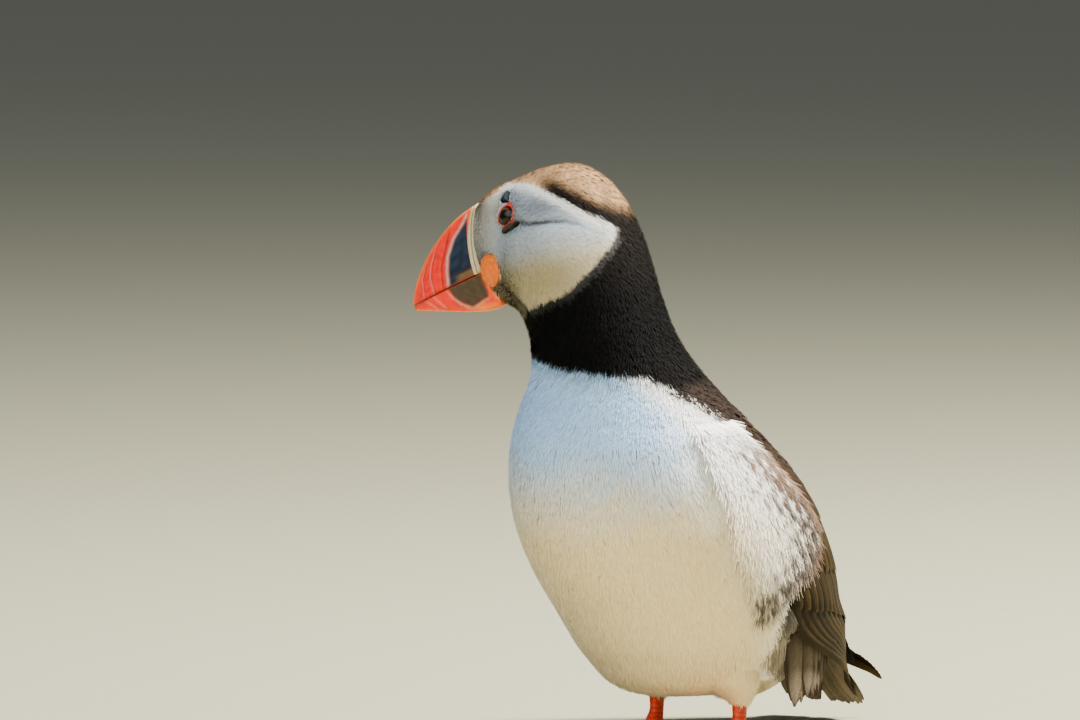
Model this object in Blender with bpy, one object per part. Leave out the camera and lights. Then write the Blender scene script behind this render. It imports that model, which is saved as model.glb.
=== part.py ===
# Atlantic puffin, life size, standing upright with its head turned to its own right.
# The body faces -Y, +X is the bird's left and +Z is up. Places are given as (forward, height)
# pairs in the bird's middle plane and are in metres once multiplied by MM.
import math

import bmesh
import bpy
import numpy as np
from mathutils import Matrix, Vector
from mathutils.bvhtree import BVHTree

MM = 0.001
GAP = 0.3                 # clear space between neighbouring solids
HEAD_TURN = 67.0          # degrees to the bird's right
NECK_AXIS = 42.4          # how far forward the upright axis of the neck stands
AROUND = 32               # points round each ring of the body

# The outline of head, neck and trunk: one row for each cross-section, from bill to tail.
# (top or back point), (underside or front point), half width, height of the widest place
# as a share from the underside. Points are (forward, height).
SECTIONS = {
    "face front":   ((91.3, 190.5), (80.1, 154.9), 8.5, 0.42),
    "brow":         ((84.8, 195.0), (75.8, 153.4), 15.2, 0.43),
    "eyes":         ((76.3, 199.8), (73.2, 151.8), 19.8, 0.43),
    "forecrown":    ((66.0, 204.0), (71.6, 149.9), 22.8, 0.43),
    "cheeks":       ((54.3, 205.6), (70.6, 147.8), 24.4, 0.42),
    "hind crown":   ((44.5, 201.4), (70.0, 145.7), 24.8, 0.42),
    "back of head": ((36.6, 193.0), (69.7, 143.6), 24.8, 0.44),
    "nape":         ((30.4, 181.5), (69.5, 141.5), 24.8, 0.47),
    "upper neck":   ((25.6, 168.5), (69.3, 139.2), 25.0, 0.49),
    "mid neck":     ((21.8, 156.0), (69.2, 136.4), 25.6, 0.50),
    "lower neck":   ((16.4, 143.5), (69.3, 132.5), 27.4, 0.50),
    "collar":       ((7.0, 131.5), (70.2, 127.0), 31.2, 0.50),
    "shoulders":    ((-7.4, 118.5), (73.0, 117.5), 37.0, 0.50),
    "upper breast": ((-22.0, 106.5), (75.5, 105.0), 42.2, 0.50),
    "breast":       ((-35.2, 95.0), (75.0, 90.5), 46.2, 0.50),
    "mid body":     ((-45.2, 83.0), (70.8, 75.5), 48.2, 0.50),
    "belly":        ((-52.2, 70.5), (62.8, 60.5), 48.2, 0.50),
    "lower belly":  ((-57.8, 58.5), (52.3, 45.5), 46.0, 0.50),
    "thighs":       ((-62.0, 48.5), (41.0, 30.5), 41.5, 0.50),
}
# The trunk closes under the tail. The folded wings follow the back line on past it.
TRUNK_END = {
    "under thighs": ((-61.0, 42.0), (27.0, 19.5), 31.5, 0.47),
    "vent":         ((-58.5, 39.5), (-2.0, 16.5), 22.0, 0.42),
    "tail coverts": ((-56.0, 37.5), (-22.0, 16.5), 14.5, 0.36),
    "covert tips":  ((-53.0, 35.5), (-36.0, 19.0), 8.0, 0.36),
}
BACK_END = {
    "rump":         ((-66.6, 41.0), (20.0, 19.0), 37.0, 0.50),
    "tail root":    ((-70.0, 34.0), (-8.0, 14.5), 31.5, 0.50),
    "tail base":    ((-73.2, 27.5), (-36.0, 13.0), 27.0, 0.50),
    "tail middle":  ((-76.6, 21.0), (-57.0, 10.0), 23.0, 0.50),
    "wing tips":    ((-79.3, 13.8), (-68.5, 5.5), 18.0, 0.50),
}
HEAD_ENDS_AT = 7.6        # section numbers of the two thin cuts
NECK_ENDS_AT = 11.4
TURN_FROM, TURN_TO = 6.6, 12.6

# Folded wing, a row for each section from "shoulders" on:
# (upper edge, lower edge, in degrees round from the middle of the back), thickness.
WING_FROM = 12
WING = (
    (42, 58, 1.8), (27, 76, 3.2), (19, 88, 3.6), (14, 93, 3.6), (11, 94, 3.6), (9, 93, 3.6),
    (8, 90, 3.3), (8, 84, 2.9), (9, 75, 2.4), (13, 63, 2.0), (20, 51, 1.7), (29, 41, 1.5),
)
RIGHT_TIP_SHIFT = (20.5, 9.5, 3.4)   # the right wing's tip lies across the left one's
TAIL_ROOT, TAIL_WAY, TAIL_LENGTH = (-54.5, 46.0), (-0.44, -0.898), 47.0
TAIL_HALF_WIDTH = 22.5

EYE_AT, EYE_RADIUS = (75.3, 187.5), 4.9
FOOT_AT = (-3.0, 20.5)    # back of the foot pad: forward, and out from the middle
FOOT_SPLAY = 9.0          # degrees outwards
TOES = {"inner": (-27.0, 27.0), "middle": (0.0, 35.0), "outer": (26.0, 33.5)}

COLOURS = {
    "black_feather": (0.018, 0.015, 0.014, 0.62, 0.0),
    "white_feather": (0.78, 0.77, 0.74, 0.75, 0.0),
    "face_feather": (0.60, 0.61, 0.62, 0.7, 0.0),
    "wing_feather": (0.030, 0.022, 0.018, 0.55, 0.0),
    "bill_horn": (0.75, 0.10, 0.02, 0.35, 0.0),
    "bill_cere": (0.78, 0.70, 0.48, 0.4, 0.0),
    "rosette_skin": (0.85, 0.38, 0.02, 0.45, 0.0),
    "eye_glass": (0.03, 0.016, 0.01, 0.08, 0.0),
    "eye_plate": (0.10, 0.12, 0.15, 0.5, 0.0),
    "leg_skin": (0.80, 0.17, 0.02, 0.5, 0.0),
    "claw_horn": (0.03, 0.025, 0.02, 0.35, 0.0),
}


def material(name):
    """A Principled material: base colour, roughness and metallic value."""
    found = bpy.data.materials.get(name)
    if found:
        return found
    made = bpy.data.materials.new(name)
    made.use_nodes = True
    red, green, blue, roughness, metallic = COLOURS[name]
    shader = made.node_tree.nodes["Principled BSDF"]
    shader.inputs["Base Color"].default_value = (red, green, blue, 1.0)
    shader.inputs["Roughness"].default_value = roughness
    shader.inputs["Metallic"].default_value = metallic
    made.diffuse_color = (red, green, blue, 1.0)
    return made


def new_object(name, mesh, finish, folder="Puffin"):
    made = bpy.data.objects.new(name, mesh)
    mesh.materials.clear()
    mesh.materials.append(material(finish))
    bpy.data.collections[folder].objects.link(made)
    mesh.shade_smooth()
    if folder == "Cutters":
        made.hide_render = True
        made.display_type = "WIRE"
    return made


def smooth(value, low, high):
    share = np.clip((value - low) / (high - low), 0.0, 1.0)
    return share * share * (3 - 2 * share)


def along(rows, at):
    """Catmull-Rom curve through evenly numbered rows, read at the numbers in at."""
    rows, at = np.asarray(rows, float), np.asarray(at, float)
    last = len(rows) - 1
    first = np.clip(np.floor(at).astype(int), 0, last - 1)
    share = (at - first)[..., None]
    before, a, b, after = (rows[np.clip(first + k, 0, last)] for k in (-1, 0, 1, 2))
    before = np.where((first == 0)[..., None], 2 * a - b, before)
    after = np.where((first == last - 1)[..., None], 2 * b - a, after)
    return 0.5 * (
        2 * a
        + (b - before) * share
        + (2 * before - 5 * a + 4 * b - after) * share**2
        + (3 * (a - b) + after - before) * share**3
    )


def wing_rows(at):
    """Upper edge, lower edge and thickness of the folded wing at a section number."""
    return np.moveaxis(along(WING, np.clip(np.asarray(at, float) - WING_FROM, 0, len(WING) - 1)), -1, 0)


def turned(points, degrees):
    """Points turned about the upright axis of the neck, to the bird's right."""
    angle = -np.radians(degrees)
    x, y = points[..., 0], points[..., 1] + NECK_AXIS
    return np.stack(
        [
            x * np.cos(angle) - y * np.sin(angle),
            x * np.sin(angle) + y * np.cos(angle) - NECK_AXIS,
            points[..., 2],
        ],
        axis=-1,
    )


def body_points(sections, at, angle, turn=True):
    """Points of the outline: at is the section number, angle the degrees round from the back."""
    at, angle = np.broadcast_arrays(np.asarray(at, float), np.radians(angle))
    rows = [(*back, *front, half, widest) for back, front, half, widest in sections.values()]
    read = along(rows, at)
    back, front = read[..., 0:2], read[..., 2:4]
    half, widest = read[..., 4], read[..., 5]
    middle = front + (back - front) * widest[..., None]
    up, out = np.cos(angle), np.sin(angle)
    reach = np.where((up > 0)[..., None], back - middle, middle - front)
    place = middle + reach * up[..., None]
    # The bill's base is bowed forwards, and the face behind it follows.
    level = (place[..., 1] - front[..., 1]) / (back[..., 1] - front[..., 1])
    bow = 3.6 * (1 - smooth(at, 0.0, 2.2)) * 4 * np.clip(level * (1 - level), 0.0, 0.25)
    forward, height = place[..., 0] + bow, place[..., 1]
    # Full cheeks, and a shallow hollow in front of them for the eye.
    cheek = 0.09 * np.exp(-(((forward - 55) / 15) ** 2) - ((height - 169) / 12) ** 2)
    hollow = 0.05 * np.exp(-(((forward - 74) / 8) ** 2) - ((height - 186) / 6) ** 2)
    shape = 1 + (cheek - hollow) * (at < 9)
    points = np.stack([half * out * shape, -forward, height], axis=-1)
    if not turn:
        return points
    return turned(points, HEAD_TURN * (1 - smooth(at, TURN_FROM, TURN_TO)))


def outward(sections, at, angle, turn=True):
    """Unit normals of body_points, from small steps either way."""
    step, swing = 0.02, 1.0
    along_body = body_points(sections, at + step, angle, turn) - body_points(
        sections, at - step, angle, turn
    )
    round_body = body_points(sections, at, angle + swing, turn) - body_points(
        sections, at, angle - swing, turn
    )
    normal = np.cross(round_body, along_body)
    return normal / np.linalg.norm(normal, axis=-1, keepdims=True)


def loft(name, rings, finish, folder="Puffin"):
    """A closed solid through rings of points. Each end is closed by rungs from side to side."""
    rings = np.asarray(rings, float) * MM
    count, size = rings.shape[:2]
    faces = []
    for ring in range(count - 1):
        for point in range(size):
            after = (point + 1) % size
            first, second = ring * size, (ring + 1) * size
            faces.append((first + point, first + after, second + after, second + point))
    for first in (0, (count - 1) * size):
        for point in range(size // 2):
            rung = (point, point + 1, (size - point - 1) % size, (size - point) % size)
            faces.append([first + corner for corner in dict.fromkeys(rung)])
    mesh = bpy.data.meshes.new(name)
    mesh.from_pydata(rings.reshape(-1, 3).tolist(), [], faces)
    shell = bmesh.new()
    shell.from_mesh(mesh)
    bmesh.ops.remove_doubles(shell, verts=shell.verts, dist=0.00001)
    bmesh.ops.recalc_face_normals(shell, faces=shell.faces)
    bmesh.ops.triangulate(shell, faces=[face for face in shell.faces if len(face.verts) > 4])
    shell.to_mesh(mesh)
    shell.free()
    return new_object(name, mesh, finish, folder)


def egg(name, centre, halves, turn, finish, folder="Puffin", detail=(12, 8)):
    """An ellipsoid from a sphere primitive: centre, half sizes and a turn matrix."""
    mesh = bpy.data.meshes.new(name)
    ball = bmesh.new()
    bmesh.ops.create_uvsphere(ball, u_segments=detail[0], v_segments=detail[1], radius=1.0)
    place = Matrix.Translation(Vector(centre) * MM) @ turn.to_4x4()
    place = place @ Matrix.Diagonal((*(Vector(halves) * MM), 1.0))
    bmesh.ops.transform(ball, matrix=place, verts=ball.verts)
    ball.to_mesh(mesh)
    ball.free()
    return new_object(name, mesh, finish, folder)


def cut(target, cutters, operation="DIFFERENCE"):
    """Cuts or joins at once, so that the next step sees the result."""
    for cutter in cutters:
        change = target.modifiers.new(cutter.name, "BOOLEAN")
        change.operation = operation
        change.solver = "EXACT"
        change.object = cutter
    bpy.context.view_layer.update()
    graph = bpy.context.evaluated_depsgraph_get()
    made = bpy.data.meshes.new_from_object(target.evaluated_get(graph))
    target.modifiers.clear()
    target.data = made
    for cutter in cutters:
        bpy.data.objects.remove(cutter)


def wing_room(at, angle):
    """How deep the trunk is sunk under the folded wing."""
    side = np.where(angle > 180, 360 - angle, angle)
    top, low, thick = wing_rows(at)
    inside = smooth(side, top - 15, top - 2) * (1 - smooth(side, low + 2, low + 15))
    return inside * smooth(at, WING_FROM - 0.9, WING_FROM) * (thick + 0.5)


def body_rings(sections, numbers, grow=0.0):
    """Rings of points round the body, grown by so much and sunk under the wings."""
    at, angle = np.meshgrid(numbers, np.arange(AROUND) * 360.0 / AROUND, indexing="ij")
    lift = grow - wing_room(at, angle)
    return body_points(sections, at, angle) + outward(sections, at, angle) * lift[..., None]


def draw_in(rings, end, onward):
    """Moves an end ring inwards by half the gap, square to its own plane."""
    ring = rings[end]
    quarter = AROUND // 4
    away = np.cross(ring[quarter] - ring[0], ring[2 * quarter] - ring[quarter])
    away /= np.linalg.norm(away)
    inward = (rings[end + onward] - ring).mean(axis=0)
    rings[end] += away * np.sign(np.dot(away, inward)) * GAP / 2


def make_head():
    numbers = np.concatenate([np.linspace(0, 1, 3), np.linspace(1.5, HEAD_ENDS_AT, 12)])
    rings = body_rings(ALL_TRUNK, numbers)
    draw_in(rings, -1, -1)
    return loft("head", rings, "face_feather")


def make_neck():
    rings = body_rings(ALL_TRUNK, np.linspace(HEAD_ENDS_AT, NECK_ENDS_AT, 7))
    draw_in(rings, 0, 1)
    draw_in(rings, -1, -1)
    return loft("neck", rings, "black_feather")


def make_trunk(name="trunk", folder="Puffin", grow=0.0):
    numbers = np.linspace(NECK_ENDS_AT, len(ALL_TRUNK) - 1, 21)
    rings = body_rings(ALL_TRUNK, numbers, grow)
    draw_in(rings, 0, 1)
    return loft(name, rings, "white_feather", folder)


def head_place(forward, side, height):
    """A point of the unturned head, turned with it."""
    return turned(np.array([side, -forward, height], float), HEAD_TURN)


def head_surface(head, forward, height, side):
    """Where a line from the side meets the head, and the outward normal there."""
    graph = bpy.context.evaluated_depsgraph_get()
    tree = BVHTree.FromObject(head, graph)
    start = Vector(head_place(forward, side * 60, height)) * MM
    stop = Vector(head_place(forward, 0, height)) * MM
    place, normal, _, _ = tree.ray_cast(start, (stop - start).normalized())
    return place / MM, normal


def facing(normal, long_way):
    """Turn matrix whose X axis is the normal and whose Z axis runs as near long_way as it can."""
    x = Vector(normal).normalized()
    y = Vector(long_way).cross(x).normalized()
    return Matrix((x, y, x.cross(y))).transposed()


def direction(forward, height):
    start, end = head_place(0, 0, 0), head_place(forward, 0, height)
    return Vector(end - start)


def make_face(head, bill):
    """Eyes, the horny plates above and below them, and the gape rosettes, let into the head."""
    inserts = {
        # name: (forward, height), half sizes (out, across, along), long way, depth, finish
        "eye": (EYE_AT, (EYE_RADIUS,) * 3, (0, 1), EYE_RADIUS - 1.3, "eye_glass"),
        "brow_plate": ((76.2, 193.6), (0.9, 1.5, 2.6), (0.06, 1), 0.1, "eye_plate"),
        "lower_plate": ((71.6, 183.2), (1.0, 1.1, 3.8), (1, -0.58), 0.1, "eye_plate"),
        "rosette": ((82.2, 167.2), (2.6, 5.2, 6.2), (-0.62, -0.78), 0.5, "rosette_skin"),
    }
    for side, word in ((1, "left"), (-1, "right")):
        places = {name: head_surface(head, *insert[0], side) for name, insert in inserts.items()}
        for name, (_, halves, way, depth, finish) in inserts.items():
            surface, normal = places[name]
            centre = surface - normal * depth
            turn = facing(normal, direction(*way))
            detail = (14, 8) if name == "eye" else (10, 6)
            egg(f"{name}_{word}", centre, halves, turn, finish, "Puffin", detail)
            grown = Vector(halves) + Vector((GAP,) * 3)
            for target in [head, *(bill if name == "rosette" else [])]:
                room = egg(f"{name}_room", centre, grown, turn, finish, "Cutters", detail)
                cut(target, [room])


def bezier(points, share):
    share = np.asarray(share, float)[..., None]
    a, b, c, d = (np.asarray(point, float) for point in points)
    return (
        (1 - share) ** 3 * a
        + 3 * share * (1 - share) ** 2 * b
        + 3 * share**2 * (1 - share) * c
        + share**3 * d
    )


CULMEN = ((91.3, 190.5), (101.8, 183.6), (115.2, 170.6), (116.2, 153.6))
CUTTING_EDGE = ((84.1, 166.5), (96.0, 162.8), (107.0, 158.3), (115.6, 153.3))
KEEL = ((80.3, 155.3), (84.5, 150.8), (98.5, 152.3), (114.8, 152.0))
BILL_HALF_WIDTH = 8.2


def bill_rings(top, bottom, shares, width_low, width_top, start_bow):
    """Cross-sections of a half of the bill, from its base to its tip."""
    rise = np.concatenate([np.linspace(0, 1, 8), np.linspace(1, 0, 8)[1:]])
    side = np.concatenate([np.ones(7), [0.0], -np.ones(7)])
    rings = []
    for share in shares:
        high, low = bezier(top, share), bezier(bottom, share)
        taper = (1 - share) ** 0.75 * (1 - 0.16 * share) + 0.05
        curve = width_low + (width_top - width_low) * rise**1.3
        half = BILL_HALF_WIDTH * taper * curve * np.where(np.abs(side) > 0, 1, 0)
        place = low + (high - low) * rise[:, None]
        level = np.clip((place[:, 1] - 154.5) / 36.2, 0, 1)
        bow = start_bow * (1 - share) ** 3 * 4 * level * (1 - level)
        forward = place[:, 0] + bow + GAP
        rings.append(np.stack([side * half, -forward, place[:, 1]], axis=-1))
    return turned(np.array(rings), HEAD_TURN)


def make_bill():
    """Upper and lower halves, and the raised pale band round the base of the upper one."""
    lift = np.array([0.0, GAP / 2])
    edge = tuple(tuple(np.array(point) + lift) for point in CUTTING_EDGE)
    lower_edge = tuple(tuple(np.array(point) - lift) for point in CUTTING_EDGE)
    upper = bill_rings(CULMEN, edge, np.linspace(0.08, 1.0, 14), 1.0, 0.16, 3.6)
    cere = bill_rings(CULMEN, edge, np.array([0.0, 0.035, 0.07]), 1.1, 0.3, 3.6)
    lower = bill_rings(lower_edge, KEEL, np.linspace(0.0, 1.0, 12), 0.34, 0.98, 3.6)
    return [
        loft("bill_upper", upper, "bill_horn"),
        loft("bill_cere", cere, "bill_cere"),
        loft("bill_lower", lower, "bill_horn"),
    ]


def make_wing(side, name, folder="Puffin", grow=0.0):
    """A folded wing: a curved shell along the side of the back, out to the tips of its quills."""
    numbers = np.linspace(WING_FROM, WING_FROM + len(WING) - 1, 17)
    at, across = np.meshgrid(numbers, np.linspace(0.0, 1.0, 8), indexing="ij")
    top, low, thick = wing_rows(at)
    spread = 1 + 0.08 * grow
    angle = (top + low) / 2 + (low - top) * (across - 0.5) * spread
    points = body_points(ALL_BACK, at, angle)
    normal = outward(ALL_BACK, at, angle)
    edge = 0.45 + 0.55 * (1 - np.abs(2 * across - 1) ** 3)
    inner = points - normal * (thick * edge + grow)[..., None]
    points = points + normal * grow
    mirror = np.array([side, 1, 1])
    shift = np.zeros(3)
    if side < 0:
        across_tail, back, up = RIGHT_TIP_SHIFT
        shift = smooth(at, 19.3, 23.2)[..., None] * np.array([across_tail, back, up])
    return shell_loft(name, points * mirror + shift, inner * mirror + shift, "wing_feather", folder)


def shell_loft(name, rows, back_rows, finish, folder="Puffin"):
    """A loft through flat rings, each an outer row of points and an inner row under it."""
    half = rows.shape[1] // 2
    rings = np.concatenate([rows, back_rows[:, ::-1]], axis=1)
    return loft(name, np.roll(rings, -half, axis=1), finish, folder)


def make_tail(rooms):
    """Short rounded tail: a fan of quills held close, its root inside the coverts."""
    shares = np.linspace(0.0, 1.0, 7)
    across = np.linspace(-1.0, 1.0, 17)
    share, side = np.meshgrid(shares, across, indexing="ij")
    half = TAIL_HALF_WIDTH * (0.42 + 0.58 * share)
    lobes = 1.2 * np.abs(np.sin(4 * np.pi * side)) * share**6
    run = share * TAIL_LENGTH * (1 - 0.05 * side**2) + lobes
    forward = TAIL_ROOT[0] + TAIL_WAY[0] * run + 3.4 * np.abs(side) ** 1.4
    height = TAIL_ROOT[1] + TAIL_WAY[1] * run
    thick = 2.6 - 1.5 * share
    upper = np.stack([half * side, -forward, height], axis=-1)
    lower = upper + np.stack([0 * half, -0.93 * thick, -0.36 * thick], axis=-1)
    tail = shell_loft("tail", upper, lower, "wing_feather")
    cut(tail, rooms)


def limb_rings(rows, around=12):
    """Upright tapering limb. Rows are (forward, side, height, half length, half width)."""
    angle = np.arange(around) * 2 * np.pi / around
    rings = []
    for forward, side, height, length, width in rows:
        ring = np.stack(
            [
                side + width * np.sin(angle),
                -(forward + length * np.cos(angle)),
                np.full(around, float(height)),
            ],
            axis=-1,
        )
        rings.append(ring)
    return rings


def make_leg(side, word, trunk_room):
    forward, out = FOOT_AT
    thigh = limb_rings(
        [
            (forward + 6, out - 1, 32, 15, 12),
            (forward + 4, out - 0.5, 22, 12, 10),
            (forward + 0.5, out, 16.5, 7.0, 6.0),
            (forward - 1.0, out, 13.5, 4.4, 3.8),
        ],
        14,
    )
    thigh = np.array(thigh) * (side, 1, 1)
    feathers = loft(f"thigh_{word}", thigh, "white_feather")
    cut(feathers, [trunk_room])
    shank = limb_rings(
        [
            (forward - 1.0, out, 13.5 - GAP, 3.2, 2.3),
            (forward - 1.0, out, 8.0, 2.8, 2.0),
            (forward + 0.4, out, 4.3, 3.4, 2.9),
        ]
    )
    loft(f"leg_{word}", np.array(shank) * (side, 1, 1), "leg_skin")


def foot_point(side, degrees, run, across=0.0):
    """A place on the floor plan of a foot: along a toe and across it."""
    forward, out = FOOT_AT
    angle = math.radians(degrees + FOOT_SPLAY)
    ahead = forward + run * math.cos(angle) - across * math.sin(angle)
    sideways = out + run * math.sin(angle) + across * math.cos(angle)
    return side * sideways, -ahead


def foot_lines():
    """Lines that run out over a foot from its heel, as (degrees, start, end, across, height).

    Each toe has a bundle of lines side by side. The web and the heel lie between the bundles.
    """
    lines = []
    toes = list(TOES.values())
    for number, (degrees, reach) in enumerate(toes):
        for share in (-1.0, -0.55, 0.0, 0.55, 1.0):
            end = reach - 2.2 * share * share
            lines.append((degrees, 2.4, end, 2.0 * share, 1.0 + 2.2 * (1 - share * share)))
        if number < len(toes) - 1:
            after, other = toes[number + 1]
            for share in (0.25, 0.5, 0.75):
                angle = degrees + (after - degrees) * share
                hollow = 1 - 0.16 * math.sin(math.pi * share)
                lines.append((angle, 2.0, (reach + (other - reach) * share) * 0.95 * hollow, 0, 1.1))
    for angle in (70, 110, 150, 180, 210, 250, 290):
        lines.append((angle, 1.6, 3.6, 0, 2.6))
    return lines


def make_foot(side, word):
    """A foot whose sole is flat: rings from the heel out to the edge and back along the sole."""
    lines = foot_lines()
    # share of the way out, height as a share of the line's own, and share of the heel's height
    profile = (
        (-0.06, 0.0, 3.95), (0.0, 0.2, 3.7), (0.10, 0.95, 0.9), (0.28, 0.95, 0.0),
        (0.42, 1.08, 0.0), (0.60, 0.85, 0.0), (0.75, 1.0, 0.0), (0.92, 0.82, 0.0), (1.0, 0.45, 0.0),
    )
    rings = []
    for share, own, heel in profile:
        ring = []
        for degrees, start, end, across, height in lines:
            run = start * (1 + share / 0.12) if share < 0 else start + (end - start) * share
            x, y = foot_point(side, degrees, run, across * (0.5 + 0.5 * max(share, 0)))
            ring.append((x, y, max(height * own, heel) if share < 0.2 else height * own))
        rings.append(ring)
    for ring in (rings[-1], rings[4], rings[0]):
        rings.append([(x, y, 0.0) for x, y, _ in ring])
    loft(f"foot_{word}", np.array(rings), "leg_skin")
    for name, (degrees, reach) in TOES.items():
        rows = ((GAP, 0.95, 0.15, 1.75), (2.2, 0.9, 0.3, 2.0), (4.4, 0.65, 0.2, 1.4), (6.0, 0.3, 0.0, 0.5))
        angle = np.arange(8) * math.pi / 4
        rings = []
        for run, half, low, high in rows:
            ring = []
            for turn in angle:
                x, y = foot_point(side, degrees, reach + run, half * math.sin(turn))
                ring.append((x, y, (low + high) / 2 + (high - low) / 2 * math.cos(turn)))
            rings.append(ring)
        loft(f"claw_{name}_{word}", np.array(rings), "claw_horn")


def centre_on_floor():
    """Puts the origin on the floor at the middle of the bird's box."""
    parts = bpy.data.collections["Puffin"].objects
    corners = np.array([v.co[:] for part in parts for v in part.data.vertices])
    low, high = corners.min(axis=0), corners.max(axis=0)
    shift = Matrix.Translation((-(low[0] + high[0]) / 2, -(low[1] + high[1]) / 2, -low[2]))
    for part in parts:
        part.data.transform(shift)


def main():
    for old in list(bpy.data.objects):
        bpy.data.objects.remove(old)
    for name in ("Puffin", "Cutters"):
        folder = bpy.data.collections.new(name)
        bpy.context.scene.collection.children.link(folder)
    make_face(make_head(), make_bill())
    make_neck()
    make_trunk()
    rooms = [make_wing(side, "wing_room", "Cutters", GAP) for side in (1, -1)]
    make_tail([make_trunk("trunk_room", "Cutters", GAP), *rooms])
    for side, word in ((1, "left"), (-1, "right")):
        cut(make_wing(side, f"wing_{word}"), [make_trunk("trunk_room", "Cutters", GAP)])
        make_leg(side, word, make_trunk("trunk_room", "Cutters", GAP))
        make_foot(side, word)
    centre_on_floor()


ALL_TRUNK = {**SECTIONS, **TRUNK_END}
ALL_BACK = {**SECTIONS, **BACK_END}
main()
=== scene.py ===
import math
import bmesh
import bpy
import numpy as np
from mathutils import Matrix, Vector


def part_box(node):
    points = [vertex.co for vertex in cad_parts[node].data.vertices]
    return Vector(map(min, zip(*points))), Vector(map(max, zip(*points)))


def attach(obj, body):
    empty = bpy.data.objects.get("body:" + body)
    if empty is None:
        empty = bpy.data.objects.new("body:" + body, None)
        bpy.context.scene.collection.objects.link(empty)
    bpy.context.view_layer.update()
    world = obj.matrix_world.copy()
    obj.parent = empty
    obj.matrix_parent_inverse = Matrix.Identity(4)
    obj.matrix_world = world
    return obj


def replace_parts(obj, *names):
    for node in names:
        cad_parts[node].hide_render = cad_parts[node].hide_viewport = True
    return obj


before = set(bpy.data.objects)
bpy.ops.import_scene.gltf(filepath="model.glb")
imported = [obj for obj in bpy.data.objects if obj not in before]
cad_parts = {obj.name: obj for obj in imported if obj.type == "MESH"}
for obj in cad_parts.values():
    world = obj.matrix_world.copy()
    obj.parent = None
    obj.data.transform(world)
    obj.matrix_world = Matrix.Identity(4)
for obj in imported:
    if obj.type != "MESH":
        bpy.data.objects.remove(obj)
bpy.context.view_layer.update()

mm = 0.001
sides = ((1, "left"), (-1, "right"))

# Cross-sections of the bird from bill to tail, in mm, before the head is turned:
# back point (forward, height), front point (forward, height), half width, widest place as a share
bodySections = {
    "face front": (91.3, 190.5, 80.1, 154.9, 8.5, 0.42),
    "brow": (84.8, 195.0, 75.8, 153.4, 15.2, 0.43),
    "eyes": (76.3, 199.8, 73.2, 151.8, 19.8, 0.43),
    "forecrown": (66.0, 204.0, 71.6, 149.9, 22.8, 0.43),
    "cheeks": (54.3, 205.6, 70.6, 147.8, 24.4, 0.42),
    "hind crown": (44.5, 201.4, 70.0, 145.7, 24.8, 0.42),
    "back of head": (36.6, 193.0, 69.7, 143.6, 24.8, 0.44),
    "nape": (30.4, 181.5, 69.5, 141.5, 24.8, 0.47),
    "upper neck": (25.6, 168.5, 69.3, 139.2, 25.0, 0.49),
    "mid neck": (21.8, 156.0, 69.2, 136.4, 25.6, 0.50),
    "lower neck": (16.4, 143.5, 69.3, 132.5, 27.4, 0.50),
    "collar": (7.0, 131.5, 70.2, 127.0, 31.2, 0.50),
    "shoulders": (-7.4, 118.5, 73.0, 117.5, 37.0, 0.50),
    "upper breast": (-22.0, 106.5, 75.5, 105.0, 42.2, 0.50),
    "breast": (-35.2, 95.0, 75.0, 90.5, 46.2, 0.50),
    "mid body": (-45.2, 83.0, 70.8, 75.5, 48.2, 0.50),
    "belly": (-52.2, 70.5, 62.8, 60.5, 48.2, 0.50),
    "lower belly": (-57.8, 58.5, 52.3, 45.5, 46.0, 0.50),
    "thighs": (-62.0, 48.5, 41.0, 30.5, 41.5, 0.50),
}
trunkEnd = {
    "under thighs": (-61.0, 42.0, 27.0, 19.5, 31.5, 0.47),
    "vent": (-58.5, 39.5, -2.0, 16.5, 22.0, 0.42),
    "tail coverts": (-56.0, 37.5, -22.0, 16.5, 14.5, 0.36),
    "covert tips": (-53.0, 35.5, -36.0, 19.0, 8.0, 0.36),
}
backEnd = {
    "rump": (-66.6, 41.0, 20.0, 19.0, 37.0, 0.50),
    "tail root": (-70.0, 34.0, -8.0, 14.5, 31.5, 0.50),
    "tail base": (-73.2, 27.5, -36.0, 13.0, 27.0, 0.50),
    "tail middle": (-76.6, 21.0, -57.0, 10.0, 23.0, 0.50),
    "wing tips": (-79.3, 13.8, -68.5, 5.5, 18.0, 0.50),
}
trunkRows = np.array([*bodySections.values(), *trunkEnd.values()])
backRows = np.array([*bodySections.values(), *backEnd.values()])
trunkLast = len(trunkRows) - 1
neckTurn = {"axisForward": 42.4, "degrees": 67.0, "startSection": 6.6, "endSection": 12.6}

faceBow = {"depth": 3.6, "low": 154.5, "rise": 36.2}          # how far the bill's base bulges forwards, in mm
legBack = 7.2                                                 # back of the lower legs behind the body's zero

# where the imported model's middle lies, read from the two lower legs
legLow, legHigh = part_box("leg_left")
otherLow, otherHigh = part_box("leg_right")
legMiddle = (legLow.x + legHigh.x + otherLow.x + otherHigh.x) / 4
frameShift = np.array([legMiddle / mm, legHigh.y / mm - legBack, 0.0])


def smoothStep(value, low, high):
    # eased rise from 0 to 1 between low and high
    share = np.clip((value - low) / (high - low), 0.0, 1.0)
    return share * share * (3 - 2 * share)


def bandOf(distance, width):
    # soft line: 1 on it, fading over so wide a band
    return np.exp(-(distance / width) ** 2)


def ovalAt(forward, height, middle, size):
    # soft oval: 1 at its middle (forward, height), fading over its half lengths in mm
    return np.exp(-(((forward - middle[0]) / size[0]) ** 2) - ((height - middle[1]) / size[1]) ** 2)


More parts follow.
